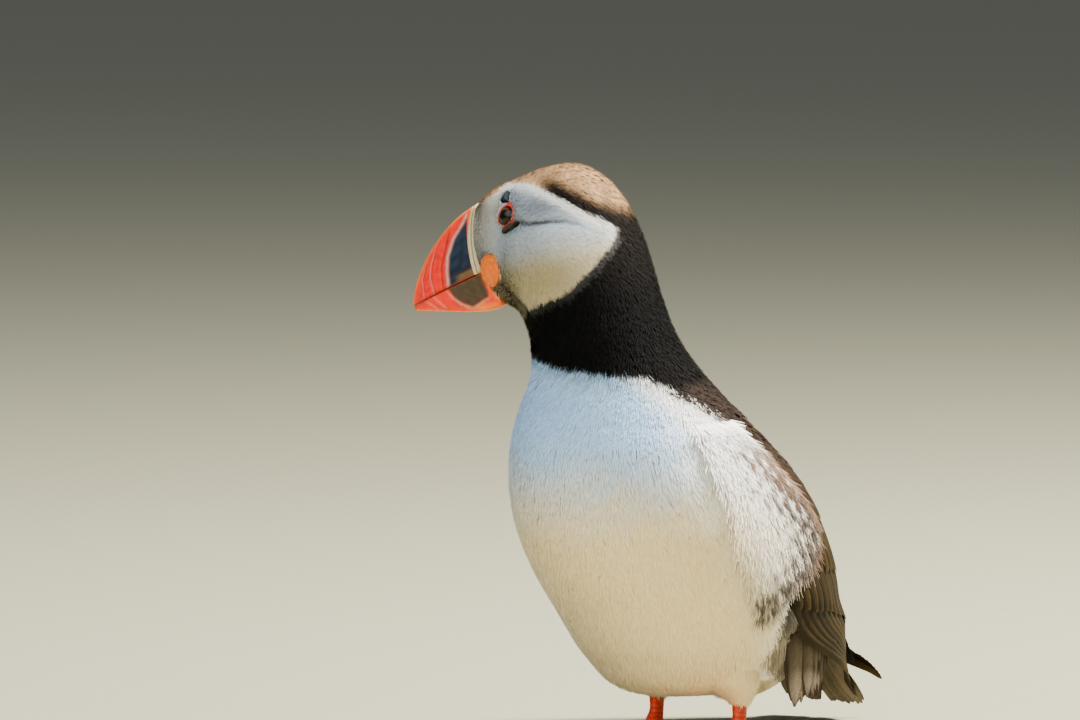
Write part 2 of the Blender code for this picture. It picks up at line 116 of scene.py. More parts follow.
def readRows(rows, at):
    # Catmull-Rom curve through evenly numbered rows, carried on straight past its last row
    rows, at = np.asarray(rows, float), np.asarray(at, float)
    last = len(rows) - 1
    inside = np.clip(at, 0, last)
    first = np.clip(np.floor(inside).astype(int), 0, last - 1)
    share = (inside - first)[..., None]
    before, a, b, after = (rows[np.clip(first + k, 0, last)] for k in (-1, 0, 1, 2))
    before = np.where((first == 0)[..., None], 2 * a - b, before)
    after = np.where((first == last - 1)[..., None], 2 * b - a, after)
    value = 0.5 * (2 * a + (b - before) * share + (2 * before - 5 * a + 4 * b - after) * share**2
                   + (3 * (a - b) + after - before) * share**3)
    past = (at - inside)[..., None]
    return value + past * np.where(past > 0, rows[-1] - rows[-2], rows[1] - rows[0])


def turnHead(points, degrees=neckTurn["degrees"]):
    # turned about the neck's upright axis, to the bird's right
    angle = -np.radians(degrees)
    x, y = points[..., 0], points[..., 1] + neckTurn["axisForward"]
    turned = (x * np.cos(angle) - y * np.sin(angle), x * np.sin(angle) + y * np.cos(angle))
    return np.stack([turned[0], turned[1] - neckTurn["axisForward"], points[..., 2]], axis=-1)


def bodyPoint(rows, at, angle, turned=True):
    # two half ellipses joined at the widest place: back point at 0 degrees, front point at 180;
    # the face is bowed forwards at the bill, the cheeks are full and there is a hollow before the eye
    at, angle = np.broadcast_arrays(np.asarray(at, float), np.asarray(angle, float))
    read = readRows(rows, at)
    back, front, half, widest = read[..., 0:2], read[..., 2:4], read[..., 4], read[..., 5]
    middle = front + (back - front) * widest[..., None]
    up, out = np.cos(np.radians(angle)), np.sin(np.radians(angle))
    reach = np.where((up > 0)[..., None], back - middle, middle - front)
    place = middle + reach * up[..., None]
    level = (place[..., 1] - front[..., 1]) / (back[..., 1] - front[..., 1])
    bow = faceBow["depth"] * (1 - smoothStep(at, 0.0, 2.2)) * 4 * np.clip(level * (1 - level), 0.0, 0.25)
    forward, height = place[..., 0] + bow, place[..., 1]
    cheek = 0.09 * ovalAt(forward, height, (55, 169), (15, 12))
    hollow = 0.05 * ovalAt(forward, height, (74, 186), (8, 6))
    shape = 1 + (cheek - hollow) * (at < 9)
    points = np.stack([half * out * shape, -forward, height], axis=-1)
    if not turned:
        return points
    turn = neckTurn["degrees"] * (1 - smoothStep(at, neckTurn["startSection"], neckTurn["endSection"]))
    return turnHead(points, turn) + frameShift


def unit(vectors):
    # each vector divided by its length
    return vectors / np.maximum(np.linalg.norm(vectors, axis=-1, keepdims=True), 1e-9)


def surfaceFrame(surface, at, angle):
    # point, outward normal, direction towards the tail, and mm for each section and each degree
    step, swing = 0.02, 1.0
    point = surface(at, angle)
    alongBody = (surface(at + step, angle) - surface(at - step, angle)) / (2 * step)
    roundBody = (surface(at, angle + swing) - surface(at, angle - swing)) / (2 * swing)
    normal = unit(np.cross(roundBody, alongBody))
    perSection, perDegree = (np.linalg.norm(way, axis=-1) for way in (alongBody, roundBody))
    return point, normal, unit(alongBody), perSection, perDegree


def trunkSurface(at, angle):
    # the feathered body down to its vent, with the head turned
    return bodyPoint(trunkRows, at, angle)


def backSurface(at, angle):
    # the same body with the folded wings' form carried on over the rump
    return bodyPoint(backRows, at, angle)


def hexColour(text):
    # sRGB hex to linear light
    value = np.array([int(text[k:k + 2], 16) for k in (1, 3, 5)]) / 255
    return np.where(value <= 0.04045, value / 12.92, ((value + 0.055) / 1.055) ** 2.4)


def blend(first, second, share):
    # first where share is 0, second where it is 1
    return first + (second - first) * np.asarray(share)[..., None]


def segmentDistance(start, end, x, y):
    # distance to the nearest place on a straight piece of a line in a plane
    (ax, ay), (bx, by) = start, end
    share = ((x - ax) * (bx - ax) + (y - ay) * (by - ay)) / ((bx - ax) ** 2 + (by - ay) ** 2)
    share = np.clip(share, 0, 1)
    return np.hypot(x - ax - share * (bx - ax), y - ay - share * (by - ay))


def outlineDistance(corners, x, y):
    # distance to a closed outline in a plane, below zero inside it
    corners = np.asarray(corners, float)
    closest, inside = np.full(x.shape, 1e9), np.zeros(x.shape, bool)
    for (ax, ay), (bx, by) in zip(corners, np.roll(corners, -1, axis=0)):
        closest = np.minimum(closest, segmentDistance((ax, ay), (bx, by), x, y))
        crossing = ((ay > y) != (by > y)) & (x < (bx - ax) * (y - ay) / (by - ay + 1e-12) + ax)
        inside ^= crossing
    return np.where(inside, -closest, closest)


def lineDistance(points, x, y):
    # distance to an open line in a plane
    return np.min([segmentDistance(start, end, x, y) for start, end in zip(points, points[1:])], axis=0)


def sideOf(angle):
    # degrees round from the middle of the back, the same on both sides
    angle = np.asarray(angle, float) % 360
    return np.where(angle > 180, 360 - angle, angle)


def wave(*terms):
    # soft repeatable unevenness, about -1 to 1, from a few sines of different pitch
    return sum(np.sin(term) for term in terms) / len(terms)


plumage = {
    # face colours carry painted light: the upper grey a cool shade, the lower buff and the cheek colour warm
    # light from below, the face shade colour shade, the rim colour a sunlit edge
    "faceUpper": "#b3bfca", "faceLower": "#b9ae8c", "cheekWarmShade": "#9f8e62", "faceFront": "#d9d2c2",
    "faceRimSunlit": "#e6e6e2", "faceShade": "#717c87", "chin": "#5f5749", "chinPale": "#a3977c",
    # the crown colour is its own sepia lightened by painted sunlight
    "crease": "#29282a", "crown": "#c09a70", "nape": "#15100c", "neck": "#080707",
    # the breast colour is white with a painted cool shade; the belly's cream is partly staining and partly
    # painted warm light from below
    "shoulder": "#f5f7f9", "breast": "#a6ccf4", "belly": "#e8d3a4", "flankTip": "#6b4c30",
    # the flank gap colour is painted shade in the gaps between loose feathers
    "flankGapShade": "#2b2723", "mantle": "#150f0b", "mantleEdge": "#34271d", "wing": "#251c0c",
    "wingFringe": "#40341a", "tailUnder": "#877d69", "ventDusk": "#766957",
}
palette = {name: hexColour(text) for name, text in plumage.items()}
# outline of the pale face, as (forward, height) on the unturned head
facePatch = ((97, 186.5), (91, 187.8), (88.1, 189.6), (84.5, 192.0), (81.2, 194.4), (80.1, 197.0),
             (78.3, 198.6), (70.9, 199.4), (64.3, 198.6), (59.4, 196.7), (55.2, 195.1), (51.2, 192.9),
             (47.5, 191.1), (42.5, 188.2), (39.3, 186.5), (35.7, 184.6), (34.0, 182.3), (34.0, 180.2),
             (34.7, 177.5), (36.5, 174.4), (38.3, 171.4), (40.5, 168.4), (43.8, 164.9), (46.4, 162.2),
             (49.9, 159.6), (54.0, 157.7), (59.1, 155.7), (63.5, 154.0), (64.8, 155.8), (67.5, 158.3),
             (71.8, 161.2), (75.6, 163.8), (80, 166.5), (97, 166.5))
chinPatch = ((97, 167), (80, 167), (75.4, 164.2), (71.4, 161.5), (66.8, 158.5), (63.0, 154.9), (66, 151),
             (70, 148.5), (74, 146), (86, 149), (97, 155))
eyeCrease = ((71, 184.7), (67.4, 185.3), (62.9, 185.1), (58.4, 185.5), (54.0, 186.0), (50.0, 186.0),
             (46.1, 185.2), (43.3, 184.2))
chinWedge = ((63.6, 154.0), (67.0, 157.4), (71.6, 160.3), (77, 163.5))


def collarSection(side):
    # section at which the black collar ends, by degrees round from the back: it dips at the sides
    return np.interp(side, (97, 103, 115, 124, 136, 149, 157, 167, 180),
                     (10.95, 10.77, 10.71, 10.47, 10.32, 10.13, 9.6, 9.1, 8.95))


def mantleAngle(at):
    # degrees round from the middle of the back at which the dark upper side gives way to white
    return np.interp(at, (10.81, 11.27, 11.78, 12.45, 13.0, 13.7, 14.4, 15.15, 15.75, 16.5, 16.8, 17.06,
                          17.35, 17.55, 18.5, 19.2, 20.5, 21.5, 23),
                     (101, 90, 80, 66, 61, 57, 55, 51, 53, 65, 77, 85, 91, 96, 102, 98, 98, 103, 110))


def mottle(x, y, size, seed=0):
    # soft irregular patches about so many mm across, from -1 to 1: waves in scattered directions, added up
    rng, total = np.random.default_rng(seed), 0.0
    for _ in range(9):
        way = rng.uniform(0, 2 * np.pi)
        pitch = 2 * np.pi / size * rng.uniform(0.6, 1.7)
        start = rng.uniform(0, 6.3)
        total = total + np.sin(pitch * (x * np.cos(way) + y * np.sin(way)) + start)
    return np.clip(total / 4, -1, 1)


def whiteAt(at, side, broad=0.0):
    # white of the underside: pure at the shoulder, cooler on the breast as painted cool shade, creamy on the
    # belly, partly staining and partly painted warm light from below
    # painted cool shade over the front of the breast
    white = blend(palette["shoulder"], palette["breast"], smoothStep(side + 4 * broad, 96, 124))
    # cream: partly staining, partly painted warm light from below
    cream = smoothStep(at + 0.25 * broad, 12.4, 15.6) * (0.4 + 0.6 * smoothStep(side + 3 * broad, 88, 120))
    return blend(white, palette["belly"], cream)


def paleFace(forward, height, patch, broad):
    # grey-white face: buff below as painted warm light from below, bluer above as painted cool shade, a warm
    # painted shade on the cheek, painted shade over the eye and before it, paler at its rim as painted
    # sunlight, paler at the bill, dark in the crease
    # painted light: a cool painted shade on the upper face, a buff of painted warm light from below on the
    # lower face
    pale = blend(palette["faceLower"], palette["faceUpper"],
                 smoothStep(height + 0.25 * (forward - 60), 166, 181))
    # painted warm shade on the cheek
    pale = blend(pale, palette["cheekWarmShade"], 0.75 * ovalAt(forward, height, (54, 166), (12, 9)))
    # painted shade over the eye
    pale = blend(pale, palette["faceShade"], 0.95 * ovalAt(forward, height, (56, 191), (13, 5)))
    pale = pale * (1 + 0.03 * broad)[..., None]
    # painted sunlit rim along the face's upper edge
    rim = smoothStep(patch, -4.0, -0.6) * smoothStep(height, 176, 186) * smoothStep(-forward, -90, -80)
    pale = blend(pale, palette["faceRimSunlit"], 0.8 * rim)
    crease = bandOf(lineDistance(eyeCrease, forward, height), 0.55 + 0.35 * smoothStep(forward, 54, 66))
    pale = blend(pale, palette["crease"], 0.92 * crease * smoothStep(forward, 41, 58) * (forward < 71.5))
    pale = blend(pale, palette["faceFront"], 0.8 * smoothStep(forward, 73, 83) * smoothStep(height, 168, 180))
    # painted shade on the lores, before the eye
    return blend(pale, palette["faceShade"], 0.25 * ovalAt(forward, height, (84, 180), (5, 9)))


def darkHead(forward, height, side, patch, ripple, broad):
    # black neck rising into the brown nape, sepia crown (its own colour lightened by painted sunlight) away
    # from the face's edge, where the dark band left is painted shadow under the crown's edge, and a
    # grey-brown chin
    top = smoothStep(height, 182, 193)
    # painted shadow: a dark band under the crown's edge above the rear of the pale face
    top = top * (1 - (1 - smoothStep(patch, 2.2, 6.5)) * smoothStep(-forward, -66, -55))
    dark = blend(palette["neck"], palette["nape"], smoothStep(height, 150, 185) * smoothStep(-side, -95, -40))
    # the crown's sepia, lightened as painted sunlight on the top of the head
    dark = blend(dark, palette["crown"], np.clip(top + 0.2 * broad * top, 0, 1))
    chin = smoothStep(-outlineDistance(chinPatch, forward, height) + 0.3 * ripple, -0.4, 0.8)
    wedge = bandOf(lineDistance(chinWedge, forward, height), 2.6)
    chinColour = blend(palette["chinPale"], palette["chin"], np.clip(wedge + 0.2 * ripple, 0, 1))
    return blend(dark, chinColour, chin * 0.96)


def coatColours(at, angle, ragged=1.0):
    # colour of the plumage at a place, how dark the place is, and its distance outside the pale face:
    # head by that distance, body by the distances from the mantle's and the collar's edge
    flat = bodyPoint(trunkRows, at, angle, turned=False)
    forward, height = -flat[..., 1], flat[..., 2]
    side = sideOf(angle)
    ripple = mottle(forward + 0.3 * side, height, 3.0, 1) * ragged
    broad = mottle(forward, height + 0.5 * side, 14.0, 2)
    patch = outlineDistance(facePatch, forward, height) + 0.35 * ripple
    # a dark line runs up the forehead
    patch = np.where(height > 186, np.maximum(patch, 2.0 - np.abs(flat[..., 0])), patch)
    pale, dark = paleFace(forward, height, patch, broad), darkHead(forward, height, side, patch, ripple,
                                                                   broad)
    head = blend(pale, dark, smoothStep(patch, -0.4, 0.5))
    mantle = blend(palette["neck"], palette["mantle"], smoothStep(at, 10.2, 12))
    mantle = mantle * (1 + 0.15 * broad)[..., None]
    dusk = palette["ventDusk"] * (1 + 0.35 * mottle(3 * side, height, 9.0, 4))[..., None]
    mantle = blend(mantle, dusk, smoothStep(at, 17.6, 18.4))
    edge = (mantleAngle(at) - side) * 0.75 + 0.6 * ripple
    collar = (collarSection(side) - at) * 9 + 1.0 * ripple
    darkShare = np.maximum(smoothStep(edge, -1.5, 1.5), smoothStep(collar, -0.7, 0.7))
    body = blend(whiteAt(at, side, broad), mantle, darkShare)
    return blend(head, body, smoothStep(at, 8.0, 8.9)), darkShare, patch


print("shape and markings ready")


def makeMesh(name, points, quads, colours, uvs=None, normals=None):
    # points in mm, faces of four corners; colours for each point, uvs as {name: (each point, 2)}
    points, quads = np.asarray(points, float).reshape(-1, 3), np.asarray(quads, np.int32).reshape(-1, 4)
    mesh = bpy.data.meshes.new(name)
    mesh.vertices.add(len(points))
    mesh.vertices.foreach_set("co", (points * mm).astype(np.float32).ravel())
    mesh.loops.add(quads.size)
    mesh.loops.foreach_set("vertex_index", quads.ravel())
    mesh.polygons.add(len(quads))
    mesh.polygons.foreach_set("loop_start", np.arange(0, quads.size, 4, dtype=np.int32))
    mesh.polygons.foreach_set("use_smooth", np.ones(len(quads), bool))
    mesh.update(calc_edges=True)
    layer = mesh.color_attributes.new("coatColour", "FLOAT_COLOR", "POINT")
    flat = np.ones((len(points), 4), np.float32)
    flat[:, :3] = np.asarray(colours).reshape(-1, 3)
    layer.data.foreach_set("color", flat.ravel())
    for label, values in (uvs or {}).items():
        layer = mesh.uv_layers.new(name=label)
        layer.data.foreach_set("uv", np.asarray(values, np.float32).reshape(-1, 2)[quads.ravel()].ravel())
    if normals is not None:
        mesh.normals_split_custom_set_from_vertices(np.asarray(normals, np.float32).reshape(-1, 3))
    made = bpy.data.objects.new(name, mesh)
    bpy.context.scene.collection.objects.link(made)
    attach(made, "root")
    return made


def gridQuads(count, across, closed=False, flip=False):
    # quads of a grid of points, count rows by across columns
    lines = across if closed else across - 1
    row, column = np.meshgrid(np.arange(count - 1), np.arange(lines), indexing="ij")
    after = (column + 1) % across
    quads = np.stack([row * across + column, row * across + after, (row + 1) * across + after,
                      (row + 1) * across + column], axis=-1).reshape(-1, 4)
    return quads[:, ::-1] if flip else quads


def closedLoft(name, rings, colours, uvs=None):
    # a closed solid from rings of points; each end shrinks to its middle point
    rings = np.asarray(rings, float)
    first, last = rings[:1].mean(axis=1, keepdims=True), rings[-1:].mean(axis=1, keepdims=True)
    size = rings.shape[1]
    full = np.concatenate([np.repeat(first, size, axis=1), rings, np.repeat(last, size, axis=1)])
    colours = np.concatenate([colours[:1], colours, colours[-1:]])
    return closeSeams(makeMesh(name, full, gridQuads(len(full), size, closed=True), colours, uvs))


def closeSeams(piece):
    # merges points within a hundredth of a millimetre, so that seams are closed, and turns the faces out
    work = bmesh.new()
    work.from_mesh(piece.data)
    bmesh.ops.remove_doubles(work, verts=work.verts, dist=0.01 * mm)
    bmesh.ops.recalc_face_normals(work, faces=work.faces)
    work.to_mesh(piece.data)
    work.free()
    return piece


def node(tree, kind, settings=None, links=None):
    # adds a node; settings go on the node or its sockets, links join sockets of other nodes to it
    made = tree.nodes.new(kind)
    for key, value in (settings or {}).items():
        if isinstance(key, int) or key in made.inputs:
            made.inputs[key].default_value = value
        else:
            setattr(made, key, value)
    for key, source in (links or {}).items():
        tree.links.new(source, made.inputs[key])
    return made


def newMaterial(name, settings):
    # a Principled material with its fixed values set on its own sockets
    made = bpy.data.materials.new(name)
    made.use_nodes = True
    shader = made.node_tree.nodes["Principled BSDF"]
    for key, value in settings.items():
        shader.inputs[key].default_value = value
    return made, made.node_tree, shader


def paintBy(tree, shader, pattern, factor, relief, strength, depth):
    # base colour: the piece's own markings darkened by a pattern; bump from a second one, depth in mm
    colour = node(tree, "ShaderNodeAttribute", {"attribute_name": "coatColour"})
    shade = node(tree, "ShaderNodeMix", {"data_type": "RGBA", "blend_type": "MULTIPLY", "Factor": factor},
                 {6: colour.outputs["Color"], 7: pattern})
    tree.links.new(shade.outputs[2], shader.inputs["Base Color"])
    if relief is not None:
        bump = node(tree, "ShaderNodeBump", {"Strength": strength, "Distance": depth * mm},
                    {"Height": relief})
        tree.links.new(bump.outputs["Normal"], shader.inputs["Normal"])


def grainOf(tree, scale, detail):
    # soft noise through the piece's own space; scale counts its cells in a metre
    place = node(tree, "ShaderNodeTexCoord")
    grain = node(tree, "ShaderNodeTexNoise", {"Scale": scale, "Detail": detail},
                 {"Vector": place.outputs["Object"]})
    return grain.outputs["Fac"]


def plumageMaterial(name, settings, streak, pitch, dark):
    # feather keratin: colour from the markings, broken by fine barbs that run along each vane, so many across
    made, tree, shader = newMaterial(name, settings)
    barb = node(tree, "ShaderNodeUVMap", {"uv_map": "barb"})
    stretch = node(tree, "ShaderNodeMapping", {"Scale": (pitch, 1.3, 1.0)}, {"Vector": barb.outputs["UV"]})
    grain = node(tree, "ShaderNodeTexNoise", {"Scale": 1.0, "Detail": 3.0, "Roughness": 0.6},
                 {"Vector": stretch.outputs["Vector"]})
    ramp = node(tree, "ShaderNodeValToRGB", None, {"Fac": grain.outputs["Fac"]})
    for end, position, text in zip(ramp.color_ramp.elements, (0.32, 0.66), (dark, "#ffffff")):
        end.position, end.color = position, (*hexColour(text), 1)
    paintBy(tree, shader, ramp.outputs["Color"], streak, grain.outputs["Fac"], 0.35, 0.2)
    return made


def hornMaterial(name, roughness, scale, gloss=0.22):
    # keratin and bare skin: a mottled colour under fine pores; scale counts the pattern's cells in a metre
    made, tree, shader = newMaterial(name, {"Roughness": roughness, "Specular IOR Level": gloss, "IOR": 1.54})
    ramp = node(tree, "ShaderNodeMapRange", {"From Min": 0.3, "From Max": 0.7, "To Min": 0.82,
                                             "To Max": 1.08}, {"Value": grainOf(tree, scale, 4.0)})
    paintBy(tree, shader, ramp.outputs["Result"], 1.0, grainOf(tree, scale * 4, 2.0), 0.25, 0.1)
    return made


def skinMaterial():
    # bare bird skin between the feathers: soft and matt, with pebbles of about 0.6 mm that catch little light
    made, tree, shader = newMaterial("feathered skin", {"Roughness": 0.7, "Specular IOR Level": 0.3})
    place = node(tree, "ShaderNodeTexCoord")
    pebble = node(tree, "ShaderNodeTexVoronoi", {"Scale": 1600.0}, {"Vector": place.outputs["Object"]})
    paintBy(tree, shader, pebble.outputs["Distance"], 0.25, pebble.outputs["Distance"], 0.3, 0.2)
    return made


def eyeMaterial():
    # wet cornea over the iris: clear, with small sharp highlights and faint fibres in the colour below
    made, tree, shader = newMaterial("moist cornea", {
        "Roughness": 0.12, "IOR": 1.376, "Specular IOR Level": 0.3})
    paintBy(tree, shader, grainOf(tree, 2500.0, 2.0), 0.3, None, 0, 0)
    return made


# loose white down: bright and soft, with a faint sheen where the barbs stand to the light
downySoft = plumageMaterial("white contour feather", {
    "Roughness": 0.6, "Specular IOR Level": 0.3, "Sheen Weight": 0.15, "Sheen Roughness": 0.5,
}, 0.12, 7.0, "#b4b4b2")
# dense black feather: swallows light like velvet, so that only its barbs show as a soft grain
velvetDark = plumageMaterial("black contour feather", {
    "Roughness": 0.75, "Specular IOR Level": 0.07}, 0.45, 7.0, "#6c6560")
# short tight face feather: smooth and silky, close to satin
faceSilk = plumageMaterial("short face feather", {
    "Roughness": 0.5, "Specular IOR Level": 0.3, "Sheen Weight": 0.1, "Sheen Roughness": 0.4,
}, 0.14, 5.0, "#b0b0b0")
# stiff vane of wing and tail: flat and dry, with clear barbs across it and almost no gloss
quillVane = plumageMaterial("flight feather vane", {
    "Roughness": 0.65, "Specular IOR Level": 0.06}, 0.55, 6.0, "#5a5048")
# polished outer keratin of the bill: waxy, with a broad highlight and 2 mm mottling
billHorn = hornMaterial("bill keratin", 0.36, 500.0)
# ivory band at the bill's base: duller and more porous than the bill
cereSkin = hornMaterial("waxy cere", 0.5, 900.0)
# soft orange skin at the corner of the mouth: moist, finely wrinkled
gapeSkin = hornMaterial("wrinkled gape skin", 0.45, 700.0)
# red rim of the lids: fleshy, a little moist
lidSkin = hornMaterial("bare eye ring", 0.42, 1200.0)
# small horny plates at the eye: slate-like and quite dull
plateHorn = hornMaterial("horny eye plate", 0.8, 1500.0, 0.02)
# orange leg and web: scaled, leathery, slightly glossy
legScute = hornMaterial("scaled leg skin", 0.42, 800.0)
# dark hard horn of the claws: smooth, the glossiest keratin on the bird
clawHorn = hornMaterial("claw keratin", 0.3, 900.0)
eyeGlass = eyeMaterial()


def scatterRoots(surface, atRange, angleRange, weight, count):
    # roots spread evenly by weighted area: a low-discrepancy series read through the area's running sums
    at, angle = np.linspace(*atRange, 241), np.linspace(*angleRange, 241)
    corners = surface(at[:, None], angle[None, :])
    crossed = np.cross(corners[1:, 1:] - corners[:-1, :-1], corners[1:, :-1] - corners[:-1, 1:])
    area = np.linalg.norm(crossed, axis=-1)
    midAt, midAngle = np.meshgrid((at[1:] + at[:-1]) / 2, (angle[1:] + angle[:-1]) / 2, indexing="ij")
    load = area * np.maximum(weight(midAt, midAngle), 0) + 1e-12
    rowSum = load.sum(axis=1)
    rowRun, cellRun = np.cumsum(rowSum) / rowSum.sum(), np.cumsum(load, axis=1) / rowSum[:, None]
    number = np.arange(count) + 1.0
    # steps that never fall on the same place twice
    stepU, stepV = 0.7548776662, 0.5698402910
    u, v = (0.5 + number * stepU) % 1, (0.5 + number * stepV) % 1
    row = np.minimum(np.searchsorted(rowRun, u), len(rowRun) - 1)
    under = np.where(row > 0, rowRun[row - 1], 0)
    rootAt = at[row] + (at[1] - at[0]) * (u - under) / (rowRun[row] - under)
    cell = np.minimum((cellRun[row] < v[:, None]).sum(axis=1), cellRun.shape[1] - 1)
    under = np.where(cell > 0, cellRun[row, cell - 1], 0)
    rootAngle = angle[cell] + (angle[1] - angle[0]) * (v - under) / (cellRun[row, cell] - under + 1e-12)
    keep = weight(rootAt, rootAngle) > 0
    return rootAt[keep], rootAngle[keep]


def bakeMap(rootAt, rootAngle, across, along, last):
    # each tuft is a small patch at its root's place on the unwrap of the skin: round the body and along it
    margin, used, patch = 0.02, 0.96, 0.003
    u = margin + used * (rootAngle % 360) / 360
    v = margin + used * np.clip(rootAt / last, 0, 1)
    return np.stack([u[..., None, None, None] + patch * (across - 0.5),
                     v[..., None, None, None] + patch * (along - 0.5)], axis=-1)


def dot(first, second):
    # scalar product of each pair of vectors
    return (first * second).sum(axis=-1)


# step of the barbs' pattern from feather to feather
apart = 1.37
# what a coat may change in its tufts. In radians: stray of the barbs, their fan, turn from the body's line.
# In mm: rough and lift raise the tips, top raises the whole, droop lets the tips hang. As shares: hang
# downwards at the neck, fill of the width, twist, shade of colour from tuft to tuft, painted shade at the
# root, even shading
tuftStyle = {"stray": 0.12, "fan": 0.25, "turn": None, "rough": 0.12, "lift": 0.0, "top": 0.0, "droop": 0.0,
             "hang": 1.0, "fill": 0.62, "twist": 0.25, "shade": 0.06, "rootShade": 0.75, "even": 0.5,
             "tintEach": False}
# what a row of vanes may change. Outline: round tip, ragged edge, shoulder near the root, taper, sweep.
# In mm: depth of the root, camber, tilt, shaft, rough, curl, ripple. Colour: where the fringe starts, shade
# from vane to vane, dark inner web, light on the shaft
vaneStyle = {"round": 0.3, "ragged": 0.04, "shoulder": 0.3, "taper": 0.25, "sweep": 1.0, "depth": 1.5,
             "camber": 0.3, "tilt": 0.0, "shaft": 0.1, "rough": 0.12, "curl": 0.0, "ripple": 0.0,
             "fringe": 0.86, "shade": 0.08, "web": 0.0, "shaftLight": 0.0}


def layTufts(name, surface, roots, style, colourAt, height=None, seed=1, last=trunkLast):
    # each tuft is a few narrow barbs: a barb's line starts at the skin, runs along the lie of the coat
    # and rises to the coat's outer face, and its width tapers to the tip
    rng, style = np.random.default_rng(seed), {**tuftStyle, **style}
    rootAt, rootAngle = roots
    count, strands, steps = len(rootAt), style["strands"], style["steps"]
    length = style["length"](rootAt, rootAngle) * rng.uniform(0.75, 1.2, count)
    width = style["width"](rootAt, rootAngle) * rng.uniform(0.8, 1.2, count)
    depth = style["depth"](rootAt, rootAngle)
    alongStep = (surface(rootAt + 0.05, rootAngle) - surface(rootAt - 0.05, rootAngle)) / 0.1
    roundStep = (surface(rootAt, rootAngle + 1) - surface(rootAt, rootAngle - 1)) / 2
    rootNormal = unit(np.cross(roundStep, alongStep))
    # lie of the coat: along the body, but straight down where the neck is twisted
    hang = unit(np.array([0, 0, -1.0]) - rootNormal * -rootNormal[:, 2:])
    share = smoothStep(rootAt, 7.0, 8.6) * (1 - smoothStep(rootAt, 12.0, 14.0)) * style["hang"]
    share = share[:, None]
    lie = unit(unit(alongStep) * (1 - share) + hang * share)
    across = np.cross(rootNormal, lie) * -1
    t = np.linspace(0, 1, steps + 1)
    turn = style["turn"](rootAt, rootAngle)[:, None] if style["turn"] else 0.0
    lean = rng.normal(0, style["stray"], (count, strands)) + turn
    fan = (np.arange(strands) - (strands - 1) / 2) / max(strands - 1, 1)
    start = fan[None, :] * width[:, None] * 0.55 + rng.normal(0, 0.06, (count, strands)) * width[:, None]
    lean = lean + fan[None, :] * style["fan"]
    reach = length[:, None] * rng.uniform(0.8, 1.1, (count, strands)) * (1 - 0.35 * np.abs(fan)[None, :] ** 2)
    alongWay = reach[..., None] * t * np.cos(lean)[..., None]
    sideWay = start[..., None] + reach[..., None] * t * np.sin(lean)[..., None]
    # the step in mm turned into sections and degrees, allowing for the two not being square to each other
    aa, bb, ab = dot(alongStep, alongStep), dot(roundStep, roundStep), dot(alongStep, roundStep)
    square = np.maximum(aa * bb - ab**2, 1e-6)
    lieA, lieB = dot(lie, alongStep), dot(lie, roundStep)
    sideA, sideB = dot(across, alongStep), dot(across, roundStep)
    atLie, angleLie = (lieA * bb - lieB * ab) / square, (lieB * aa - lieA * ab) / square
    atSide, angleSide = (sideA * bb - sideB * ab) / square, (sideB * aa - sideA * ab) / square
    atStep = alongWay * atLie[:, None, None] + sideWay * atSide[:, None, None]
    angleStep = alongWay * angleLie[:, None, None] + sideWay * angleSide[:, None, None]
    at = rootAt[:, None, None] + np.clip(atStep, -1.6, 1.6)
    angle = rootAngle[:, None, None] + np.clip(angleStep, -40, 40)
    point, normal, _, _, _ = surfaceFrame(surface, at, angle)
    rise = -depth[:, None, None] * (1 - t) ** 1.5 * 0.9 - 0.12
    rise = rise + rng.normal(0, style["rough"], (count, strands))[..., None] * t
    rise = rise + style["lift"] * t**2 + style["top"]
    if height is not None:
        rise = rise + height(at, angle)
    centre = point + normal * rise[..., None]
    # tips on the underside hang free
    under = style["droop"] * t**2 * smoothStep(-normal[..., 2], 0.1, 0.7) * smoothStep(at, 17, 19)
    centre = centre - np.array([0, 0, 1.0]) * under[..., None]
    tangent = unit(np.gradient(centre, axis=2))
    sideways = unit(np.cross(normal, tangent))
    half = width[:, None, None] / strands * style["fill"] * (1 - 0.86 * t**1.6)
    twist = rng.normal(0, style["twist"], (count, strands))[..., None, None]
    sideways = unit(sideways + normal * twist)
    pair = np.stack([centre - sideways * half[..., None], centre + sideways * half[..., None]], axis=3)
    quads = gridQuads(steps + 1, 2, flip=True)
    base = np.arange(count * strands)[:, None, None] * (2 * (steps + 1))
    quads = (base + quads[None]).reshape(-1, 4)
    if style["tintEach"]:
        tint = colourAt(at, angle)[..., None, :] * np.ones((1, 1, 1, 2, 1))
    else:
        tip = 0.9 * length
        tint = colourAt(rootAt + tip * atLie, rootAngle + tip * angleLie)[:, None, None, None, :]
    tint = tint * rng.normal(1, style["shade"], count)[:, None, None, None, None]
    tint = np.clip(tint, 0.002, 0.95) * np.ones((1, strands, steps + 1, 2, 1))
    # painted shade: each barb darkens towards its root, where the coat shades itself
    rootShade = style["rootShade"]
    tone = rootShade + (1 - rootShade) * t**0.7
    own = rng.normal(1, 0.04, (count, strands))[..., None, None, None]
    tint = tint * tone[None, None, :, None, None] * own
    sideShare = ((np.arange(strands)[:, None] + np.array([0.0, 1.0])) / strands)[None, :, None, :]
    sideShare = np.broadcast_to(sideShare, pair.shape[:-1])
    down = np.broadcast_to(t[None, None, :, None], pair.shape[:-1])
    barb = np.stack([sideShare + np.arange(count)[:, None, None, None] * apart, down], axis=-1)
    bake = bakeMap(rootAt, rootAngle, sideShare, down, last)
    # shading normals lean towards the body's own, as light sinks into real down and evens it out
    even = style["even"]
    flat = unit(np.cross(tangent, sideways))
    flat = flat * np.sign(np.sum(flat * normal, axis=-1, keepdims=True) + 1e-9)
    soft = unit(normal * even + flat * (1 - even))
    soft = np.stack([unit(soft - sideways * 0.18), unit(soft + sideways * 0.18)], axis=3)
    return makeMesh(name, pair, quads, tint, {"OFBake": bake, "barb": barb}, soft)


